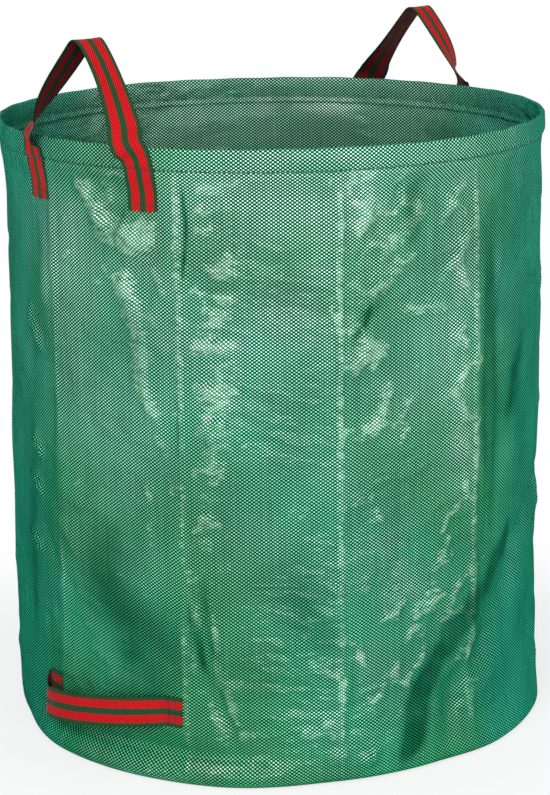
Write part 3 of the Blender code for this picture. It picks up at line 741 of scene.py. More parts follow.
class Wiring:
    """Short words for putting nodes into one tree and joining them."""

    def __init__(self, tree):
        self.tree = tree

    def node(self, kind, **settings):
        made = self.tree.nodes.new(kind)
        for key, value in settings.items():
            setattr(made, key, value)
        return made

    def join(self, source, target):
        self.tree.links.new(source, target)

    def feed(self, target, value):
        if isinstance(value, bpy.types.NodeSocket):
            self.join(value, target)
        else:
            target.default_value = value

    def math(self, operation, *values, clamp=False):
        made = self.node("ShaderNodeMath", operation=operation, use_clamp=clamp)
        for socket, value in zip(made.inputs, values):
            self.feed(socket, value)
        return made.outputs[0]

    def times(self, first, *others, clamp=False):
        for place, other in enumerate(others, 1):
            first = self.math("MULTIPLY", first, other, clamp=clamp and place == len(others))
        return first

    def plus(self, first, second, clamp=False):
        return self.math("ADD", first, second, clamp=clamp)

    def minus(self, first, second):
        return self.math("SUBTRACT", first, second)

    def mix(self, share, first, second):
        made = self.node("ShaderNodeMix", data_type="RGBA")
        for place, value in ((0, share), (6, first), (7, second)):
            self.feed(made.inputs[place], value)
        return made.outputs[2]

    def between(self, value, low, high, start=0.0, end=1.0):
        made = self.node("ShaderNodeMapRange", interpolation_type="SMOOTHSTEP")
        for socket, part in zip(made.inputs, (value, low, high, start, end)):
            self.feed(socket, part)
        return made.outputs[0]

    def noise(self, vector, scale, detail=2.0, roughness=0.5):
        made = self.node("ShaderNodeTexNoise")
        self.feed(made.inputs["Vector"], vector)
        made.inputs["Scale"].default_value = scale
        made.inputs["Detail"].default_value = detail
        made.inputs["Roughness"].default_value = roughness
        return made.outputs["Fac"]

    def patches(self, vector, scale, detail, roughness, low, high, start=0.0, end=1.0):
        """Noise, from a start where it is below a low to an end where it is above a high."""
        return self.between(self.noise(vector, scale, detail, roughness), low, high, start, end)

    def spot(self):
        return self.node("ShaderNodeTexCoord").outputs["Object"]

    def place(self):
        return self.node("ShaderNodeUVMap", uv_map="cloth_metres").outputs[0]

    def attribute(self, name):
        return self.node("ShaderNodeAttribute", attribute_name=name).outputs["Fac"]

    def split(self, vector):
        made = self.node("ShaderNodeSeparateXYZ")
        self.join(vector, made.inputs[0])
        return made.outputs

    def stretched(self, vector, scale):
        made = self.node("ShaderNodeMapping")
        self.join(vector, made.inputs["Vector"])
        made.inputs["Scale"].default_value = scale
        return made.outputs[0]

    def bump(self, height, strength, distance, normal=None):
        made = self.node("ShaderNodeBump")
        made.inputs["Strength"].default_value = strength
        made.inputs["Distance"].default_value = distance
        self.join(height, made.inputs["Height"])
        if normal is not None:
            self.join(normal, made.inputs["Normal"])
        return made.outputs[0]


def tape_weave_group():
    """Flat tapes in a plain weave: which way's tape is on top, and how high it stands there.

    The top tape changes over from cell to cell as the sign of a product of two sine waves, and each
    top tape arches over the one that it crosses.
    """
    made, given, result = group(
        "tape_weave",
        [("Place", "NodeSocketVector", None), ("Warp Tape", "NodeSocketFloat", 0.0027),
         ("Weft Tape", "NodeSocketFloat", 0.0020)],
        [(label, "NodeSocketFloat") for label in ("Warp On Top", "Height", "Gap", "Crown")],
    )
    w = Wiring(made)
    apart = w.split(given.outputs["Place"])
    waves = []
    for axis, tape in enumerate(("Warp Tape", "Weft Tape")):
        cell = w.math("DIVIDE", apart[axis], given.outputs[tape])
        waves.append(w.math("SINE", w.times(cell, np.pi)))
    top = w.between(w.times(*waves), -0.02, 0.13)
    arch_u, arch_v = (w.math("ABSOLUTE", wave) for wave in waves)
    warp_high = w.times(w.math("POWER", arch_v, 0.7), w.math("POWER", arch_u, 0.25))
    weft_high = w.times(w.math("POWER", arch_u, 0.7), w.math("POWER", arch_v, 0.25))
    height = w.node("ShaderNodeMix", data_type="FLOAT")
    w.join(top, height.inputs[0])
    w.join(weft_high, height.inputs[2])
    w.join(warp_high, height.inputs[3])
    arch = w.times(arch_u, arch_v)
    w.join(top, result.inputs["Warp On Top"])
    w.join(height.outputs[0], result.inputs["Height"])
    w.join(w.minus(1.0, w.between(arch, 0.0, 0.30)), result.inputs["Gap"])
    w.join(w.times(top, w.between(arch, 0.24, 0.68)), result.inputs["Crown"])
    return made


def shared(name, build):
    """A node group or material of that name, built the first time that it is asked for."""
    found = bpy.data.node_groups.get(name) or bpy.data.materials.get(name)
    return found or build()


def new_material(name, colour):
    made = bpy.data.materials.new(name)
    made.use_nodes = True
    made.diffuse_color = (*colour, 1.0)
    wiring = Wiring(made.node_tree)
    return made, wiring, made.node_tree.nodes["Principled BSDF"]


def set_plain(shader, **values):
    for label, value in values.items():
        shader.inputs[label.replace("_", " ")].default_value = value


def cloth_material():
    """Laminated cloth: pale warp tapes over dark weft ones under a clear film, paler where creased.

    The crease mark and fold_shade are marks on the mesh; the crease mark is partly wear and partly
    painted highlight. A fold_shade above 0 is a hollow in painted shade, darker and dull, and below 0 a
    place with a painted pale sheen that shows the tapes' crowns paler.
    """
    look = bpy.context.scene.leaf_bag_cloth
    made, w, shader = new_material("laminated_cloth", look.warp_colour)
    place, spot = w.place(), w.spot()
    weave = w.node("ShaderNodeGroup", node_tree=shared("tape_weave", tape_weave_group))
    w.join(place, weave.inputs["Place"])
    weave.inputs["Warp Tape"].default_value = look.warp_width
    weave.inputs["Weft Tape"].default_value = look.weft_width
    top, crown = weave.outputs["Warp On Top"], weave.outputs["Crown"]
    facing = w.node("ShaderNodeLayerWeight").outputs["Facing"]
    side, _, tall = w.split(spot)
    squeezed = w.stretched(spot, (1.0, 1.0, 2.1))

    # Where the film is pale from wear and painted highlight, darkened by painted shade in hollows, and
    # given a painted sheen
    crease = w.attribute("crease_wear_and_highlight")
    patchy = w.times(w.minus(w.noise(squeezed, 75.0, 4.0, 0.62), 0.5), 3.4)
    worn_and_highlighted = w.between(w.plus(crease, w.times(patchy, w.between(crease, 0.0, 0.30))), 0.30, 1.20)
    # fold_shade above 0 paints shade into hollows, and below 0 paints a pale sheen in patches; lit is
    # what stays out of that painted shade
    fold = w.attribute("fold_shade")
    painted_fold_sheen = w.between(fold, 0.0, -1.0, 0.0, 0.85)
    painted_fold_sheen = w.times(painted_fold_sheen, w.patches(spot, 30.0, 4.0, 0.6, 0.36, 0.62, 0.15))
    hollow = w.times(w.between(fold, 0.0, 1.0), w.patches(spot, 22.0, 2.0, 0.5, 0.35, 0.6, 0.70))
    lit = w.minus(1.0, hollow)
    # Wear with painted highlight, in patches, and none in the painted shade
    worn_and_highlighted = w.times(worn_and_highlighted, w.patches(spot, 17.0, 2.0, 0.5, 0.36, 0.58, 0.35), lit, clamp=True)
    # Painted sheen: paler tape crowns higher up the wall, in patches, none in painted shade, fading
    # where the cloth turns from the camera
    painted_sheen = w.times(w.between(tall, 0.12, 0.66, 0.12, 0.74), lit)
    painted_sheen = w.times(painted_sheen, w.patches(spot, 6.0, 2.0, 0.5, 0.38, 0.62, 0.55, 1.15))
    painted_sheen = w.plus(painted_sheen, w.times(painted_fold_sheen, 0.75), clamp=True)
    painted_sheen = w.times(painted_sheen, w.between(facing, 0.22, 0.80, 1.0, 0.15))

    # The tapes' colours
    # Bluer towards the left and right sides, a painted reflection of the bluish room, on top of random
    # bluer patches
    sides = w.between(w.math("ABSOLUTE", side), 0.235, 0.300, 0.0, 0.85)
    tint = w.plus(w.patches(spot, 4.0, 2.0, 0.5, 0.42, 0.66, 0.0, 0.6), sides, clamp=True)
    warp = w.mix(tint, (*look.warp_colour, 1), (*look.warp_tint_and_side_reflection, 1))
    # Pale from wear and painted highlight, and pale tape crowns from the painted sheen
    warp = w.mix(w.times(worn_and_highlighted, 0.85), warp, (0.52, 0.80, 0.56, 1.0))
    warp = w.mix(w.times(crown, painted_sheen), warp, (*look.crown_sheen_colour, 1))
    weft = w.mix(w.times(worn_and_highlighted, 0.42), (*look.weft_colour, 1), (0.10, 0.38, 0.20, 1.0))
    colour = w.mix(top, weft, warp)
    colour = w.mix(w.times(weave.outputs["Gap"], 0.70), colour, (0.003, 0.014, 0.009, 1.0))
    tone = w.patches(w.stretched(place, (400.0, 6.0, 1.0)), 1.0, 2.0, 0.5, 0.3, 0.7, -0.11, 0.11)
    # Random brightness patches, darkened by painted shade in the hollows
    shade = w.plus(w.patches(spot, 9.0, 3.0, 0.55, 0.3, 0.7, 0.84, 1.12), tone)
    shade = w.times(shade, w.minus(1.0, w.times(hollow, 0.60)))
    darken = w.node("ShaderNodeVectorMath", operation="SCALE")
    w.join(colour, darken.inputs[0])
    w.join(shade, darken.inputs["Scale"])
    w.join(darken.outputs[0], shader.inputs["Base Color"])
    w.join(w.between(top, 0.0, 1.0, 0.50, 0.36), shader.inputs["Roughness"])

    # Crinkles in the film, the tapes in them, and the film's shine
    crinkle = w.math("ABSOLUTE", w.minus(w.noise(squeezed, 13.0, 3.0, 0.48), 0.5))
    where = w.patches(spot, 7.0, 1.0, 0.5, 0.42, 0.62)
    crinkle = w.times(crinkle, w.plus(w.times(where, 1.6), 0.25))
    ripple = w.bump(w.minus(w.times(w.noise(spot, 46.0, 3.0, 0.5), 0.12), crinkle), 0.75, 0.0150)
    w.join(w.bump(weave.outputs["Height"], 0.55, 0.00030, ripple), shader.inputs["Normal"])
    w.join(ripple, shader.inputs["Coat Normal"])
    film = w.plus(w.times(crown, 0.75), w.between(top, 0.0, 1.0, 0.03, 0.15))
    film = w.times(w.between(facing, 0.10, 0.42, 1.0, 0.0), film)
    w.join(w.times(film, lit), shader.inputs["Coat Weight"])
    set_plain(shader, Coat_Roughness=0.30, Coat_IOR=2.0, Specular_IOR_Level=0.0)
    return made


def webbing_material():
    """Ribbed webbing: two red stripes between three green ones, with rows of small yarn knuckles."""
    look = bpy.context.scene.leaf_bag_webbing
    made, w, shader = new_material("striped_webbing", look.red)
    place, spot = w.place(), w.spot()
    across, along, _ = w.split(place)
    wobble = w.times(w.minus(w.noise(place, 520.0, 1.0), 0.5), 0.0012)
    out = w.math("DIVIDE", w.math("ABSOLUTE", w.plus(across, wobble)), STRAP_WIDTH / 2)
    middle = w.minus(1.0, w.between(out, 0.185, 0.235))
    green_share = w.math("MAXIMUM", middle, w.between(out, 0.70, 0.75))
    rib = w.math("SINE", w.times(along, 2 * np.pi / RIB_PITCH))
    yarn = w.math("SINE", w.times(across, 2 * np.pi / YARN_PITCH))
    knuckle = w.times(rib, yarn)
    fine = w.noise(place, 2600.0, 2.0)
    red = w.mix(w.between(knuckle, -0.45, 0.45), (*look.red_shade, 1), (*look.red, 1))
    green = w.mix(w.between(knuckle, -0.6, 0.8), (*look.green_shade, 1), (*look.green, 1))
    colour = w.mix(green_share, red, green)
    colour = w.mix(w.between(fine, 0.35, 0.8, 0.0, 0.30), colour, (0.05, 0.045, 0.035, 1.0))
    # Darker on the reverse face: partly darker reverse yarns, partly painted shade
    reverse_shade_and_yarns = w.node("ShaderNodeMix", data_type="RGBA", blend_type="MULTIPLY")
    w.join(w.attribute("reverse_face"), reverse_shade_and_yarns.inputs[0])
    w.join(colour, reverse_shade_and_yarns.inputs[6])
    reverse_shade_and_yarns.inputs[7].default_value = (0.22, 0.35, 0.45, 1.0)
    selvedge = w.between(out, 0.93, 0.99)
    colour = w.mix(w.times(selvedge, 0.55), reverse_shade_and_yarns.outputs[2], (0.012, 0.022, 0.014, 1.0))
    w.join(colour, shader.inputs["Base Color"])
    w.join(w.bump(w.plus(knuckle, w.times(fine, 0.8)), 0.7, 0.00035), shader.inputs["Normal"])
    w.join(w.patches(spot, 70.0, 2.0, 0.5, 0.3, 0.7, 0.60, 0.78), shader.inputs["Roughness"])
    set_plain(shader, Sheen_Weight=0.02, Sheen_Roughness=0.4, Specular_IOR_Level=0.06)
    return made


def thread_material(name, colour):
    made, w, shader = new_material(name, colour)
    twist = w.noise(w.spot(), 2400.0, 1.0)
    w.join(w.mix(twist, (*[0.45 * c for c in colour], 1), (*colour, 1)), shader.inputs["Base Color"])
    set_plain(shader, Roughness=0.55, Sheen_Weight=0.2)
    return made


def tape_material():
    made, w, shader = new_material("tape_finish", (0.04, 0.20, 0.11))
    weave = w.noise(w.spot(), 900.0, 2.0)
    colour = w.mix(w.between(weave, 0.35, 0.65), (0.02, 0.12, 0.065, 1), (0.05, 0.24, 0.135, 1))
    w.join(colour, shader.inputs["Base Color"])
    w.join(w.bump(weave, 0.4, 0.0003), shader.inputs["Normal"])
    set_plain(shader, Roughness=0.7)
    return made


def plastic_material():
    made, w, shader = new_material("plastic_finish", (0.03, 0.03, 0.03))
    set_plain(shader, Base_Color=(0.03, 0.03, 0.03, 1.0))
    w.join(w.patches(w.spot(), 120.0, 2.0, 0.5, 0.3, 0.7, 0.38, 0.52), shader.inputs["Roughness"])
    return made


def cloth():
    return shared("laminated_cloth", cloth_material)


def dark_thread():
    return shared("dark_thread", lambda: thread_material("dark_thread", (0.010, 0.016, 0.012)))


def green_thread():
    return shared("green_thread", lambda: thread_material("green_thread", (0.012, 0.075, 0.045)))


# ---------------------------------------------------------------- pieces


def finish(piece, body):
    """Gives a piece the body that carries it."""
    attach(piece, body)


def wall_azimuths():
    """Columns all the way round, twice as close at the front, where the folds are, as at the back."""
    share = np.linspace(-1.0, 1.0, WALL_COLUMNS + 1)[:-1]
    return np.pi * (share - 0.30 / np.pi * np.sin(np.pi * share))


def wall_section(azimuth):
    """Radii and heights down the wall's outer face, round its foot and in over the base."""
    settled = slumped(azimuth)
    corner = STANDING_CORNER + (SLUMPED_CORNER - STANDING_CORNER) * settled
    left_of_slump = smooth((-np.degrees(azimuth) - 62.0) / 15.0)
    corner = corner - 0.004 * spread_foot(azimuth) + 0.005 * left_of_slump
    share = np.linspace(0.0, 1.0, WALL_ROWS - BAND_ROWS)[:, None]
    foot_top = FLOOR_CLEARANCE + corner
    band = np.linspace(STITCH_Z + 0.0005, BAND_FOOT, BAND_ROWS + 1)[:-1, None]
    lower = BAND_FOOT + (foot_top - BAND_FOOT)[None, :] * (0.55 * share + 0.45 * smooth(share))
    z = np.concatenate([np.broadcast_to(band, (BAND_ROWS, azimuth.size)), lower])
    face = cloth_radius(azimuth[None, :], z)
    face = face + CLOTH_THICKNESS * seam_step(azimuth)[None, :]
    turn = np.linspace(0.0, np.pi / 2, CORNER_ROWS + 1)[1:, None]
    foot_r = face[-1] - corner + corner * np.cos(turn)
    foot_z = foot_top - corner * np.sin(turn)
    lap_end = BELLY_RADIUS - CORNER_RADIUS - BASE_LAP
    lap_r = foot_r[-1] + (lap_end - foot_r[-1]) * shares(LAP_ROWS)
    lap_z = np.broadcast_to(foot_z[-1], lap_r.shape)
    return np.concatenate([face, foot_r, lap_r]), np.concatenate([z, foot_z, lap_z])


def wall_wear_and_highlight(azimuth, radius, height):
    """How pale the film is, from 0 to 1, from wear and painted highlight: by how far it stands out from
    the cloth around it, and along the kept folds; less near the floor, at the sides and low at the left."""
    relief = radius - eased(radius, 3)
    beside = radius - (np.roll(radius, 3, axis=1) + np.roll(radius, -3, axis=1)) / 2
    pale_wear_and_highlight = np.clip((relief + beside) / WEAR_AND_HIGHLIGHT_RELIEF - 0.12, 0.0, 1.0)
    pale_wear_and_highlight = pale_wear_and_highlight * (0.85 - CREASE_WEAR_AND_HIGHLIGHT_LOSS * crease_line(azimuth)[None, :])
    folded = np.clip(ridges(azimuth[None, :], height, KEPT_FOLDS) / WEAR_AND_HIGHLIGHT_RIDGE - 0.10, 0.0, 1.0)
    pale_wear_and_highlight = np.maximum(pale_wear_and_highlight, folded) * (0.3 + 0.7 * smooth((height - 0.02) / 0.10))
    off = np.degrees(azimuth)
    # The painted highlight is kept weak on the sides past the outer front creases and low at the left
    pale_wear_and_highlight = pale_wear_and_highlight * (1.0 - 0.85 * smooth((np.abs(off) - 46.5) / 4.0))[None, :]
    low_left = smooth((-off - 24.0) / 8.0)[None, :] * (1.0 - smooth((height - 0.33) / 0.08))
    pale_wear_and_highlight = pale_wear_and_highlight * (1.0 - LOW_LEFT_WEAR_AND_HIGHLIGHT_LOSS * low_left)
    pale_wear_and_highlight[-LAP_ROWS - 2 :] = 0.0
    return pale_wear_and_highlight


def make_wall():
    """The wall: its calm radius with folds added, down to a rounded foot that turns in over the base.

    The outer face is a fine grid. The inner face is every second row and column of it, moved in by
    one cloth's thickness, and both are joined along their top and bottom edges.
    """
    azimuth = wall_azimuths()
    radius, height = wall_section(azimuth)
    rows = len(radius)
    points = around(azimuth[None, :], radius, height)
    down_run = running(np.hypot(np.diff(radius, axis=0), np.diff(height, axis=0)).mean(axis=1))
    inward = profile_sides(np.stack([radius, height], axis=-1)) * CLOTH_THICKNESS
    inner = around(azimuth[None, :], radius + inward[..., 0], height + inward[..., 1])
    # Pale film from wear and painted highlight, then painted shade in hollows and a painted sheen along
    # the creases
    pale_wear_and_highlight = wall_wear_and_highlight(azimuth, radius, height)
    shaded = ridges(azimuth[None, :], height, SHADED_FOLDS)
    shaded = np.clip(shaded - CREASE_PAINTED_SHEEN * crease_line(azimuth)[None, :], -1.0, 1.0)
    way = np.append(azimuth, np.pi) * BELLY_RADIUS
    uv = np.stack(np.broadcast_arrays(way[None, :], -down_run[:, None]), axis=-1)
    length, cut_height = WALL_CUT
    for name, first, last, flat_height in (
        ("bag_wall_top", 0, BAND_ROWS, STITCH_Z - BAND_FOOT),
        ("bag_wall", BAND_ROWS, rows - 1, cut_height - STITCH_Z + BAND_FOOT),
    ):
        part = slice(first, last + 1)
        piece = closed_shell(name, points[part], inner[part], uv[part], pale_wear_and_highlight[part], shaded[part],
                             cut_below=first == 0)
        finish(piece, "base" if first else "rim")
        if first:
            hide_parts("side_wall")
            squash_with_wall(piece)


def squash_with_wall(piece):
    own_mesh(piece)


def joining_corners(fine, coarse, turned):
    """Three triangles from each two steps of a fine edge to one step of a coarse one."""
    fans = (
        (fine[0], fine[1], coarse[0]),
        (fine[1], coarse[1], coarse[0]),
        (fine[1], fine[2], coarse[1]),
    )
    return [np.stack(fan[::-1] if turned else fan, axis=-1) for fan in fans]


def closed_shell(name, outer, inner, uv, pale_wear_and_highlight, shaded, cut_below):
    """A fine outer grid and a coarse inner one, joined along both edges by three corners at a time.

    The edge where the wall is cut in two stays sharp, so that the cut doesn't show.
    """
    rows, columns = outer.shape[:2]
    kept_rows = np.append(np.arange(0, rows - 1, 2), rows - 1)
    kept_columns = np.arange(0, columns, 2)
    kept = np.ix_(kept_rows, kept_columns)
    uv_inner = uv[kept_rows][:, np.append(kept_columns, columns)]
    inner = inner[kept]
    few_rows, few_columns = inner.shape[:2]
    first, first_uv = rows * columns, rows * (columns + 1)
    skin = grid_quads(rows, columns, columns, rows - 1)[:, ::-1]
    skin_uv = grid_quads(rows, columns + 1, columns, rows - 1)[:, ::-1]
    lining = grid_quads(few_rows, few_columns, few_columns, few_rows - 1) + first
    lining_uv = grid_quads(few_rows, few_columns + 1, few_columns, few_rows - 1) + first_uv
    faces, places = [skin, lining], [skin_uv, lining_uv]
    left = np.arange(few_columns)
    cut = np.zeros(first + few_rows * few_columns, dtype=bool)
    for row, few_row, turned in ((0, 0, False), (rows - 1, few_rows - 1, True)):
        start, few_start = row * columns, first + few_row * few_columns
        fine = [start + (2 * left + step) % columns for step in range(3)]
        coarse = [few_start + (left + step) % few_columns for step in range(2)]
        faces += joining_corners(fine, coarse, turned)
        fine = [row * (columns + 1) + 2 * left + step for step in range(3)]
        coarse = [first_uv + few_row * (few_columns + 1) + left + step for step in range(2)]
        places += joining_corners(fine, coarse, turned)
        if turned == cut_below:
            cut[start : start + columns] = cut[few_start : few_start + few_columns] = True
    points = np.concatenate([outer.reshape(-1, 3), inner.reshape(-1, 3)])
    on_cloth = np.concatenate([uv.reshape(-1, 2), uv_inner.reshape(-1, 2)])
    # Marks for wear with painted highlight, and for painted shade and painted sheen
    extras = [
        (label, np.concatenate([values.ravel(), values[kept].ravel()]))
        for label, values in (("crease_wear_and_highlight", pale_wear_and_highlight), ("fold_shade", shaded))
    ]
    return put_mesh(name, points, faces, [on_cloth[corner] for corner in places], cloth(), extras, cut)


def make_hem():
    """The hem: a fold of cloth carried round the rim, up over the hoop and down to its turning."""
    azimuth = ring(HEM_COLUMNS)
    half = CLOTH_THICKNESS / 2
    bend_top = BAG_HEIGHT - half - HEM_BEND
    rise = np.linspace(STITCH_Z, bend_top, 14)[:, None]
    outer = hem_radius(azimuth[None, :], rise) - half
    over = np.linspace(0.0, np.pi, 9)[1:, None]
    bend_r = HOOP_RADIUS + (outer[-1:] - HOOP_RADIUS) * np.cos(over)
    bend_z = bend_top + HEM_BEND * np.sin(over)
    under_hoop = BAG_HEIGHT - HOOP_DROP - HOOP_WIDTH - 0.001
    in_from_wall = CLOTH_THICKNESS + SEWN_GAP + half
    fall = shares(8)
    inner_z = bend_z[-1:] + (under_hoop - bend_z[-1:]) * fall
    inner_r = bend_r[-1:] - 0.0009 * np.sin(fall * np.pi)
    pucker = hem_radius(azimuth, np.full_like(azimuth, STITCH_Z)) - STITCH_RADIUS
    joint_r = (STITCH_RADIUS - in_from_wall + pucker)[None, :]
    gather_z = under_hoop + (STITCH_Z - under_hoop) * shares(4)
    gather_r = inner_r[-1:] + (joint_r - inner_r[-1:]) * smooth(shares(4))
    down = shares(3)
    turning_z = STITCH_Z - HEM_TURNING * down
    turning_r = joint_r - 0.0022 * smooth(down) + 0.0006 * np.sin(37 * azimuth) * down
    radius = np.concatenate([outer, bend_r, inner_r, gather_r, turning_r])
    height = np.concatenate([rise, bend_z, inner_z, gather_z, turning_z]) + np.zeros_like(radius)
    sway = 0.0004 * np.sin(7 * azimuth + 0.5) + 0.0003 * np.sin(31 * azimuth)
    lifted = smooth((height - STITCH_Z) / 0.02)
    height = height + sway[None, :] * lifted - 0.0006 * lifted
    middle = np.stack([radius, height], axis=-1)
    side = profile_sides(middle)
    skin = np.concatenate([middle + side * half, (middle - side * half)[::-1]])
    points = around(azimuth[None, :], skin[..., 0], skin[..., 1])
    run = running(np.hypot(*np.moveaxis(np.diff(middle, axis=0), -1, 0)).mean(axis=1))
    run = np.concatenate([run, run[::-1]])
    way = np.append(azimuth, np.pi) * BELLY_RADIUS
    uv = np.stack(np.broadcast_arrays(way[None, :], np.append(run, run[0])[:, None]), axis=-1)
    # A paler line along the top fold, on the mark for wear and painted highlight
    curl = np.exp(-(((height - BAG_HEIGHT) / 0.0025) ** 2)) * 0.35
    curl = np.concatenate([curl, curl[::-1]])
    piece = surface("hem_fold", points, uv, cloth(), [("crease_wear_and_highlight", curl)])
    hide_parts("rim_hem")
    finish(piece, "rim")


def make_base():
    """The round base: a disc of cloth with faint ripples that die away towards its sewn edge."""
    azimuth = ring(BASE_COLUMNS)
    edge = BELLY_RADIUS - CORNER_RADIUS
    radius = edge * np.linspace(0.004, 1.0, BASE_ROWS)[:, None]
    share = radius / edge
    waves = np.sin(21 * radius / edge + 2 * azimuth) + np.sin(3 * azimuth - 13 * radius / edge)
    ripple = 0.0011 * waves
    calm = (1.0 - smooth((share - 0.80) / 0.16)) * smooth(share / 0.2)
    top = CLOTH_THICKNESS + np.clip(ripple * calm + 0.0010 * calm, 0.0, None)
    upper = around(azimuth[None, :], radius, top)
    lower = around(azimuth[None, :], radius, np.maximum(top - CLOTH_THICKNESS, 0.0))
    points = np.concatenate([upper[::-1], lower])
    way = np.append(azimuth, np.pi)[None, :]
    flat = np.concatenate([radius[::-1], radius, radius[-1:]])
    uv = np.stack([flat * np.sin(way), flat * np.cos(way)], axis=-1)
    # No wear or painted highlight on the base
    unmarked = [("crease_wear_and_highlight", np.zeros(points.shape[:2]))]
    piece = surface("base_cloth", points[:, ::-1], uv[:, ::-1], cloth(), unmarked)
    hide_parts("base_disc")
    finish(piece, "base")


def loop_curve(handle, half_span, foot_z):
    """The free strap's middle line, as distances along the rim and heights: two legs and a crest."""
    crest_z = BAG_HEIGHT + handle["crest_height"] - CREST_RADIUS
    crest = np.array([handle["crest_shift"], crest_z])
    share = np.linspace(0.0, 1.0, 60)[:, None]
    legs = []
    for side, lean in zip((-1.0, 1.0), handle["foot_leans"], strict=True):
        start = np.array([half_span * side, foot_z])
        shoulder = crest + CREST_RADIUS * np.array([side * np.cos(CREST_LEAN), np.sin(CREST_LEAN)])
        reach = np.linalg.norm(shoulder - start) / 3.0
        first = start + reach * np.array([np.sin(lean), np.cos(lean)])
        last = shoulder - reach * np.array([-side * np.sin(CREST_LEAN), np.cos(CREST_LEAN)])
        legs.append(cubic(start, first, last, shoulder, share))
    turn = np.linspace(np.pi - CREST_LEAN, CREST_LEAN, 14)[1:-1]
    over = crest + CREST_RADIUS * np.stack([np.cos(turn), np.sin(turn)], axis=-1)
    return np.concatenate([legs[0], over, legs[1][::-1]])


def sewn_leg(handle, side):
    """The strap's line up the wall and the hem, one strap's half thickness proud of them."""
    z = np.linspace(STITCH_Z - TAB_LENGTH, BAG_HEIGHT - 0.002, 60)
    risen = np.clip((z - STITCH_Z) / (FOLD_Z - STITCH_Z), 0.0, 1.0)
    azimuth = foot_azimuth(handle, side, 1.0 - risen * risen)
    radius = seat_radius(azimuth, z) + SEWN_GAP + STRAP_THICKNESS / 2 + 0.0002
    drawn_in = 0.0012 * np.exp(-(((z - STITCH_Z) / 0.004) ** 2))
    return around(azimuth, radius - drawn_in * 0.3, z)


def strap_line(handle):
    """A carry handle's whole middle line: up one sewn leg, over the free loop and down the other."""
    seat = RIM_RADIUS + SEWN_GAP + STRAP_THICKNESS / 2
    along, out = directions(handle["azimuth"])
    reach = seat * np.cos(handle["half_angle"])
    curve = loop_curve(handle, seat * np.sin(handle["half_angle"]), FOLD_Z + STRAP_THICKNESS / 2)
    loop = reach * out + curve[:, :1] * along + curve[:, 1:] * UP
    left, right = sewn_leg(handle, -1.0), sewn_leg(handle, 1.0)
    line = evenly(np.concatenate([left, loop[2:-2], right[::-1]]), 0.0012)
    softened = eased(line, 5)
    keep = smooth((line[:, 2] - (STITCH_Z + 0.006)) / 0.010)[:, None]
    return line + (softened - line) * keep


def strap_turn(handle, line):
    """Which way the strap's width points along its line, and how far it has twisted.

    On the hem it follows the rim. Above, it turns from the rim's chord until it lies across the rim at
    the crest, quickly at first and then slowly.
    """
    along, out = directions(handle["azimuth"])
    run = lengths_along(line)
    crest = np.argmax(line[:, 2])
    climbed = np.where(np.arange(len(line)) <= crest, run, run[-1] - run)
    foot = np.interp(FREE_Z, line[:crest, 2], run[:crest])
    far_foot = np.interp(FREE_Z, line[:crest:-1, 2], (run[-1] - run)[:crest:-1])
    rising = np.arange(len(line)) <= crest
    start = np.where(rising, foot, far_foot)
    length = np.where(rising, run[crest], run[-1] - run[crest]) - start
    free = np.clip((climbed - start) / length, 0.0, 1.0)
    turned = (1.0 - (1.0 - free) ** 3.6) * smooth(free / 0.10)
    twist = np.where(rising, CREST_TWIST * turned, np.pi - (np.pi - CREST_TWIST) * turned)
    ahead = unit(np.gradient(line, axis=0))
    ahead = np.where(rising[:, None], ahead, -ahead)
    local = directions(np.arctan2(line[:, 0], -line[:, 1]))
    chord = smooth((line[:, 2] - FREE_Z) / (FOLD_Z - FREE_Z))[:, None]
    wide = unit(local[0] * (1.0 - chord) + along * chord)
    wide = square_to(ahead, wide)
    outward = unit(np.cross(wide, ahead))
    flipped = np.sign(np.sum(outward * (local[1] * (1 - chord) + out * chord), axis=1))[:, None]
    outward = outward * np.where(flipped == 0, 1.0, flipped)
    across = np.cos(twist)[:, None] * wide + np.sin(twist)[:, None] * outward
    return unit(eased(across, 4)), twist


def make_carry_handle(label, handle):
    """One strap from its sewn left end, over its twisted loop, to its sewn right end."""
    webbing = shared("striped_webbing", webbing_material)
    line = strap_line(handle)
    across, twist = strap_turn(handle, line)
    near_rim = 1.0 - smooth((line[:, 2] - BAG_HEIGHT + 0.003) / 0.024)
    out = directions(np.arctan2(line[:, 0], -line[:, 1]))[1]
    push = STRAP_WIDTH / 2 * np.abs(np.sin(twist)) * near_rim
    line = line + eased(push[:, None], 4) * out
    piece = ribbon(f"{label}_carry_strap", line, across, webbing)
    nodes = [f"{label}_handle_{part}" for part in ("left_tab", "right_tab", "loop")]
    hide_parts(*nodes)
    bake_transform(piece)
    for end, inside, place in ((0, 2, "left"), (-1, -3, "right")):
        away = unit(line[end] - line[inside])
        face = unit(np.cross(across[end], away))
        fray = frayed_end(f"{label}_{place}_frayed_end", line[end], across[end], away, face,
                          webbing, seed=len(label) + len(place))
        finish(fray, "rim")


def sew_carry_ends(label, handle):
    """Stitching that holds a carry handle's two ends: one row at the hem and one near the foot."""
    for side, place in ((-1.0, "left"), (1.0, "right")):
        azimuth = foot_azimuth(handle, side)
        azimuth = azimuth + np.linspace(-0.5, 0.5, 30) * (STRAP_WIDTH - 0.003) / RIM_RADIUS
        for row, z in (("top", STITCH_Z), ("foot", STITCH_Z - TAB_LENGTH + 0.0065)):
            radius = seat_radius(azimuth, np.full(30, z))
            spread = radius * 0.5 + np.max(radius) * 0.5
            points = around(azimuth, spread + SEWN_GAP + STRAP_THICKNESS + 0.00025, z)
            thread = stitch_row(f"{label}_{place}_{row}_stitches", points, directions(azimuth)[1],
                                dark_thread(), length=0.0032, pitch=0.0038, thick=0.0006)
            finish(thread, "rim")


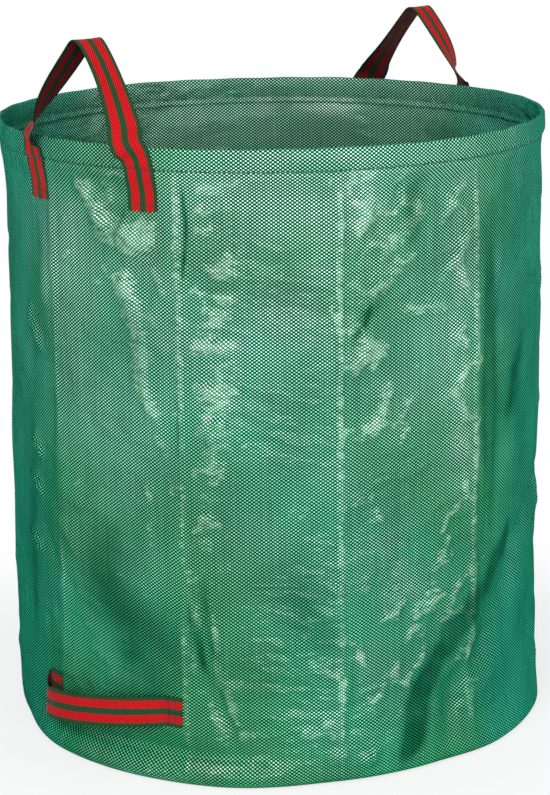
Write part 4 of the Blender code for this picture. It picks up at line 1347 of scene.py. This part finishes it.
def grip_ends():
    """The two ends of the emptying handle's free strap, on the wall beside the sewn ends."""
    ends = []
    for _, azimuth, _, height in GRIP_ENDS:
        edges = height + STRAP_WIDTH / 2 * np.array([-1.0, 1.0])
        seat = np.max(cloth_radius(np.full(2, azimuth), edges)) + SEWN_GAP + STRAP_THICKNESS / 2
        ends.append(around(azimuth, seat, height))
    return ends


def grip_tab_line(_, start, length, height):
    """A sewn end's middle line along the wall, clear of the cloth across its whole width."""
    azimuth = start + np.linspace(0.0, length, 22) / RIM_RADIUS
    rows = height + np.linspace(-0.5, 0.5, 7)[:, None] * STRAP_WIDTH
    seat = cloth_radius(azimuth[None, :], rows).max(axis=0)
    return around(azimuth, seat + SEWN_GAP + STRAP_THICKNESS / 2, height)


def grip_line():
    """The free strap: a turn back over its left end, then a bow out from the wall to its right end."""
    left, right = grip_ends()
    left_along, left_out = directions(GRIP_LEFT_AZIMUTH)
    right_along, right_out = directions(GRIP_RIGHT_AZIMUTH)
    turn = np.linspace(0.0, np.pi, 28)[:, None]
    bend = left + GRIP_TURN_RADIUS * (left_out * (1.0 - np.cos(turn)) - left_along * np.sin(turn))
    bend[:, 2] -= GRIP_TURN_DROP * smooth(turn[:, 0] / np.pi)
    low_end, right_end = bend[-1] * (1.0 - UP), right * (1.0 - UP)
    reach = np.linalg.norm(right_end - low_end) / 3.0
    leaving = left_along * np.cos(GRIP_LEFT_SLOPE) + left_out * np.sin(GRIP_LEFT_SLOPE)
    arriving = right_along * np.cos(GRIP_RIGHT_SLOPE) - right_out * np.sin(GRIP_RIGHT_SLOPE)
    first, last = low_end + reach * leaving, right_end - reach * arriving
    share = shares(89)
    rising = (bend[-1] + (right - bend[-1]) * (1.0 - (1.0 - share) ** GRIP_RISE_POWER)) * UP
    return bend, cubic(low_end, first, last, right_end, share) + rising


def make_emptying_handle():
    """The low strap: its left end lies under its own turn, its right end runs on along the wall."""
    webbing = shared("striped_webbing", webbing_material)
    bend, bow = grip_line()
    left, tab = (grip_tab_line(*end) for end in GRIP_ENDS)
    line = evenly(np.concatenate([bend, bow[:-1], tab]), 0.0011)
    softened = eased(line, 4)
    line[12:] = softened[12:]
    run = lengths_along(line)
    ahead = unit(np.gradient(line * (1.0 - UP), axis=0))
    lean = np.cross(np.broadcast_to(UP, ahead.shape), ahead)
    free = np.clip(run / (run[-1] - GRIP_RIGHT_TAB), 0.0, 1.0)
    drape = np.sin(np.pi * free) * GRIP_DRAPE / STRAP_WIDTH
    across = unit(UP + drape[:, None] * lean)
    strap = ribbon("emptying_strap", line, across, webbing, outer=-1.0, upright=True)
    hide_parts("emptying_handle_loop", "emptying_handle_right_tab")
    foot = around(GRIP_RIGHT_AZIMUTH, RIM_RADIUS, GRIP_RIGHT_HEIGHT)
    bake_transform(strap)
    upright = np.broadcast_to(UP, left.shape)
    under = ribbon("emptying_strap_left_end", left, upright, webbing, outer=-1.0)
    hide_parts("emptying_handle_left_tab")
    finish(under, "emptying_ends")
    for (place, azimuth, _, height), points in zip(GRIP_ENDS, (left, tab), strict=True):
        away = unit(points[-1] - points[-3])
        face = unit(np.cross(away, UP))
        fray = frayed_end(f"emptying_{place}_frayed_end", points[-1], UP, away, face, webbing, seed=9)
        finish(fray, "emptying_ends")
        for row, offset in (("inner", 0.0035), ("outer", 0.0120)):
            column = azimuth + offset / RIM_RADIUS
            rise = height + np.linspace(-0.5, 0.5, 24) * (STRAP_WIDTH + 0.002)
            seat = np.linalg.norm(points[:, :2], axis=1).max() + STRAP_THICKNESS / 2 + THREAD_LIFT
            rows = around(column, seat, rise)
            out = np.broadcast_to(directions(column)[1], rows.shape)
            thread = stitch_row(f"emptying_{place}_{row}_stitches", rows, out, dark_thread(),
                                length=0.0034, pitch=0.0038, thick=0.0007)
            finish(thread, "emptying_ends")


def make_hem_stitching():
    """The long row round the hem, seen outside and inside."""
    azimuth = np.linspace(-np.pi, np.pi, 1500)
    z = STITCH_Z + 0.0010 + 0.0004 * np.sin(5 * azimuth) + 0.0003 * np.sin(17 * azimuth)
    out = directions(azimuth)[1]
    outside = around(azimuth, hem_radius(azimuth, z) + THREAD_LIFT, z)
    inside = around(azimuth, STITCH_RADIUS - 2 * CLOTH_THICKNESS - SEWN_GAP - 0.0002, z)
    for name, points, normal in (("outside", outside, out), ("inside", inside, -out)):
        thread = stitch_row(f"hem_{name}_stitches", points, normal, green_thread())
        finish(thread, "rim")


def make_seam_stitching():
    """Two rows down the lap seam at the back, and two round the base."""
    for name, offset in (("left", -1.0), ("right", 1.0)):
        azimuth = SEAM_AZIMUTH + offset * (SEAM_WIDTH / 2 - SEAM_STITCH_INSET) / RIM_RADIUS
        for part, low, high in (("", 0.034, BAND_FOOT), ("_top", BAND_FOOT, STITCH_Z - 0.004)):
            z = np.linspace(low, high, 370 if not part else 30)
            radius = cloth_radius(np.full(z.size, azimuth), z) + CLOTH_THICKNESS + THREAD_LIFT
            out = np.broadcast_to(directions(azimuth)[1], (z.size, 3))
            thread = stitch_row(f"back_seam_{name}_stitches{part}", around(azimuth, radius, z), out,
                                green_thread())
            finish(thread, "rim" if part else "base")
            if not part:
                squash_with_wall(thread)
    azimuth = np.linspace(-np.pi, np.pi, 1200)
    low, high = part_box("base_seam_tape")
    for name, inset, level in (("outer", 0.0025, high.z), ("inner", 0.0165, low.z + 0.0005)):
        rows = around(azimuth, high.x - inset, level + THREAD_LIFT)
        upward = np.broadcast_to(UP, rows.shape)
        thread = stitch_row(f"base_{name}_stitches", rows, upward, green_thread(),
                            pitch=0.0055, length=0.0042)
        finish(thread, "base")


def dress_hidden_parts():
    """The seam tape, the hoop and its sleeve stay as packed, in their own finishes."""
    for node, build, name in (
        ("base_seam_tape", tape_material, "tape_finish"),
        ("rim_hoop", plastic_material, "plastic_finish"),
        ("hoop_sleeve", plastic_material, "plastic_finish"),
    ):
        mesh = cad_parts[node].data
        mesh.materials.clear()
        mesh.materials.append(shared(name, build))


# ---------------------------------------------------------------- stage


def pale_where_seen(w, lit, white):
    """A share of 1 for what the camera, a mirror or clear plastic sees, and 0 for light that falls."""
    path = w.node("ShaderNodeLightPath")
    seen = w.plus(path.outputs["Is Camera Ray"], path.outputs["Is Glossy Ray"], clamp=True)
    seen = w.plus(seen, path.outputs["Is Transmission Ray"], clamp=True)
    mixed = w.node("ShaderNodeMixShader")
    w.join(seen, mixed.inputs[0])
    w.join(lit, mixed.inputs[1])
    w.join(white, mixed.inputs[2])
    return mixed.outputs[0]


def make_floor():
    """A wide pale floor. The camera sees half of it as plain white, so that a soft shadow stays."""
    corners = FLOOR_REACH * np.array([[-1.0, -1, 0], [1, -1, 0], [1, 1, 0], [-1, 1, 0]])
    made, w, shader = new_material("pale_floor", (0.9, 0.9, 0.9))
    set_plain(shader, Base_Color=(0.86, 0.86, 0.86, 1.0), Roughness=0.9, Specular_IOR_Level=0.1)
    glow = w.node("ShaderNodeEmission")
    set_plain(glow, Strength=1.0)
    half = w.node("ShaderNodeMixShader")
    far = w.node("ShaderNodeVectorMath", operation="LENGTH")
    w.join(w.spot(), far.inputs[0])
    w.join(w.between(far.outputs["Value"], 0.38, 0.75, 0.72, 1.0), half.inputs[0])
    w.join(shader.outputs[0], half.inputs[1])
    w.join(glow.outputs[0], half.inputs[2])
    seen = pale_where_seen(w, shader.outputs[0], half.outputs[0])
    w.join(seen, made.node_tree.nodes["Material Output"].inputs["Surface"])
    floor = put_mesh("floor", corners, [np.array([[0, 1, 2, 3]])], [corners[None, :, :2]], made)


def make_world():
    scene = bpy.context.scene
    scene.world = bpy.data.worlds.new("pale_room")
    scene.world.use_nodes = True
    w = Wiring(scene.world.node_tree)
    room = scene.world.node_tree.nodes["Background"]
    set_plain(room, Color=(0.86, 0.95, 1.0, 1.0), Strength=scene.leaf_bag_light.fill)
    white = w.node("ShaderNodeBackground")
    set_plain(white, Color=(1.0, 1.0, 1.0, 1.0), Strength=1.0)
    seen = pale_where_seen(w, room.outputs[0], white.outputs[0])
    w.join(seen, scene.world.node_tree.nodes["World Output"].inputs["Surface"])


def put_on_stage(name, data, place, right, above, back):
    """A lamp or camera at a place, turned so that its own axes lie along three directions."""
    holder = bpy.data.objects.new(name, data)
    bpy.context.scene.collection.objects.link(holder)
    turned = np.stack([right, above, back], axis=1)
    holder.matrix_world = Matrix.Translation(place) @ Matrix(turned.tolist()).to_4x4()
    return holder


def make_lamp(name, place, wide, tall, power):
    """A level rectangle of light that faces the middle of the bag."""
    lamp = bpy.data.lights.new(name, "AREA")
    lamp.shape, lamp.size, lamp.size_y, lamp.energy = "RECTANGLE", wide, tall, power
    back = unit(np.array(place) - np.array(BAG_MIDDLE))
    right = unit(np.cross(UP, back))
    put_on_stage(name, lamp, place, right, np.cross(back, right), back)


def make_camera():
    """The camera from its place, heading, downward tilt and roll."""
    level = np.cos(CAMERA_PITCH)
    forward = np.array([np.sin(CAMERA_YAW) * level, np.cos(CAMERA_YAW) * level, -np.sin(CAMERA_PITCH)])
    right = unit(np.cross(forward, UP))
    above = np.cross(right, forward)
    rolled_right = np.cos(CAMERA_ROLL) * right + np.sin(CAMERA_ROLL) * above
    rolled_up = -np.sin(CAMERA_ROLL) * right + np.cos(CAMERA_ROLL) * above
    lens = bpy.data.cameras.new("photo_camera")
    lens.sensor_fit, lens.sensor_height, lens.lens = "VERTICAL", SENSOR_HEIGHT, FOCAL_LENGTH
    lens.clip_end = 60.0
    camera = put_on_stage("photo_camera", lens, CAMERA_PLACE, rolled_right, rolled_up, -forward)
    bpy.context.scene.camera = camera


# ---------------------------------------------------------------- the add-on


def length_setting(name, about, default):
    return bpy.props.FloatProperty(
        name=name, description=about, default=default, unit="LENGTH", precision=5
    )


def colour_setting(name, about, default):
    return bpy.props.FloatVectorProperty(name=name, description=about, default=default, subtype="COLOR")


def power_setting(name, about, default):
    return bpy.props.FloatProperty(name=name, description=about, default=default, unit="POWER")


class LeafBagCloth(bpy.types.PropertyGroup):
    """Sizes and colours of the woven cloth."""

    warp_width: length_setting("Warp width", "Width of one upright tape", 0.0027)
    weft_width: length_setting("Weft width", "Width of one level tape", 0.00203)
    warp_colour: colour_setting("Warp", "Tapes that run up the wall", (0.022, 0.390, 0.140))
    # Random bluer patches, and a painted reflection on the left and right sides
    warp_tint_and_side_reflection: colour_setting("Warp tint", "Bluer patches of those tapes", (0.022, 0.470, 0.285))
    # Pale arch of each warp tape: a painted sheen, strongest high on the wall and in fold patches
    crown_sheen_colour: colour_setting("Warp crown", "Each tape's arch in hazy film", (0.580, 0.850, 0.760))
    weft_colour: colour_setting("Weft", "Tapes that run round the wall", (0.002, 0.028, 0.014))


class LeafBagWebbing(bpy.types.PropertyGroup):
    """Colours of the striped webbing."""

    red: colour_setting("Red", "Red stripes", (0.86, 0.003, 0.010))
    red_shade: colour_setting("Red shade", "Between the red yarns", (0.13, 0.001, 0.003))
    green: colour_setting("Green", "Green stripes", (0.030, 0.100, 0.030))
    green_shade: colour_setting("Green shade", "Between the green yarns", (0.004, 0.013, 0.005))


class LeafBagLight(bpy.types.PropertyGroup):
    """How strongly the stage is lit."""

    key: power_setting("Key", "Large low lamp at the front", 64.0)
    high: power_setting("High", "Lamp above the front left", 58.0)
    side: power_setting("Side", "Softer lamp at the right", 9.0)
    top: power_setting("Top", "Lamp overhead", 16.0)
    fill: bpy.props.FloatProperty(name="Fill", description="Light from all round", default=0.46)


class LEAFBAG_OT_wall(bpy.types.Operator):
    """Makes the cloth wall with its creases and folds"""

    bl_idname = "leaf_bag.wall"
    bl_label = "Wall"

    def execute(self, context):
        make_wall()
        return {"FINISHED"}


class LEAFBAG_OT_hem(bpy.types.Operator):
    """Makes the hem over the hoop and its stitching"""

    bl_idname = "leaf_bag.hem"
    bl_label = "Hem"

    def execute(self, context):
        make_hem()
        make_hem_stitching()
        return {"FINISHED"}


class LEAFBAG_OT_base(bpy.types.Operator):
    """Makes the round base and dresses its seam tape, the hoop and the sleeve"""

    bl_idname = "leaf_bag.base"
    bl_label = "Base"

    def execute(self, context):
        make_base()
        make_seam_stitching()
        dress_hidden_parts()
        return {"FINISHED"}


class LEAFBAG_OT_carry_handles(bpy.types.Operator):
    """Makes the two carry handles, sewn to the outside of the hem"""

    bl_idname = "leaf_bag.carry_handles"
    bl_label = "Carry handles"

    def execute(self, context):
        for label, handle in (("front", FRONT_HANDLE), ("rear", REAR_HANDLE)):
            make_carry_handle(label, handle)
            sew_carry_ends(label, handle)
        return {"FINISHED"}


class LEAFBAG_OT_emptying_handle(bpy.types.Operator):
    """Makes the low strap that is held to tip the bag out"""

    bl_idname = "leaf_bag.emptying_handle"
    bl_label = "Emptying handle"

    def execute(self, context):
        make_emptying_handle()
        return {"FINISHED"}


class LEAFBAG_OT_stage(bpy.types.Operator):
    """Makes the pale floor, the lamps and the camera"""

    bl_idname = "leaf_bag.stage"
    bl_label = "Stage"

    def execute(self, context):
        light = context.scene.leaf_bag_light
        make_floor()
        make_world()
        make_lamp("key_lamp", (0.95, -3.2, 0.90), 2.8, 1.1, light.key)
        make_lamp("high_lamp", (-1.2, -2.7, 2.5), 1.6, 1.0, light.high)
        make_lamp("side_lamp", (2.6, -1.2, 1.6), 1.4, 1.8, light.side)
        make_lamp("top_lamp", (0.2, 0.3, 3.0), 2.2, 2.2, light.top)
        make_camera()
        context.scene.view_settings.view_transform = "Standard"
        return {"FINISHED"}


class LEAFBAG_PT_panel(bpy.types.Panel):
    """Shows the leaf bag's settings, and buttons that make its pieces"""

    bl_idname = "LEAFBAG_PT_panel"
    bl_label = "Leaf Bag"
    bl_space_type = "VIEW_3D"
    bl_region_type = "UI"
    bl_category = "Leaf Bag"

    def draw(self, context):
        for settings in ("leaf_bag_cloth", "leaf_bag_webbing", "leaf_bag_light"):
            group_of = getattr(context.scene, settings)
            for label in group_of.bl_rna.properties.keys():
                if label not in ("rna_type", "name"):
                    self.layout.prop(group_of, label)
        for operator in OPERATORS:
            self.layout.operator(operator.bl_idname)


OPERATORS = (
    LEAFBAG_OT_wall,
    LEAFBAG_OT_hem,
    LEAFBAG_OT_base,
    LEAFBAG_OT_carry_handles,
    LEAFBAG_OT_emptying_handle,
    LEAFBAG_OT_stage,
)
SETTINGS = {
    "leaf_bag_cloth": LeafBagCloth,
    "leaf_bag_webbing": LeafBagWebbing,
    "leaf_bag_light": LeafBagLight,
}
CLASSES = (*SETTINGS.values(), *OPERATORS, LEAFBAG_PT_panel)


def register():
    for item in CLASSES:
        bpy.utils.register_class(item)
    for label, settings in SETTINGS.items():
        setattr(bpy.types.Scene, label, bpy.props.PointerProperty(type=settings))


def unregister():
    for label in SETTINGS:
        delattr(bpy.types.Scene, label)
    for item in reversed(CLASSES):
        bpy.utils.unregister_class(item)


def main():
    register()
    bpy.ops.leaf_bag.wall()
    bpy.ops.leaf_bag.hem()
    bpy.ops.leaf_bag.base()
    bpy.ops.leaf_bag.carry_handles()
    bpy.ops.leaf_bag.emptying_handle()
    bpy.ops.leaf_bag.stage()


if __name__ == "__main__":
    main()
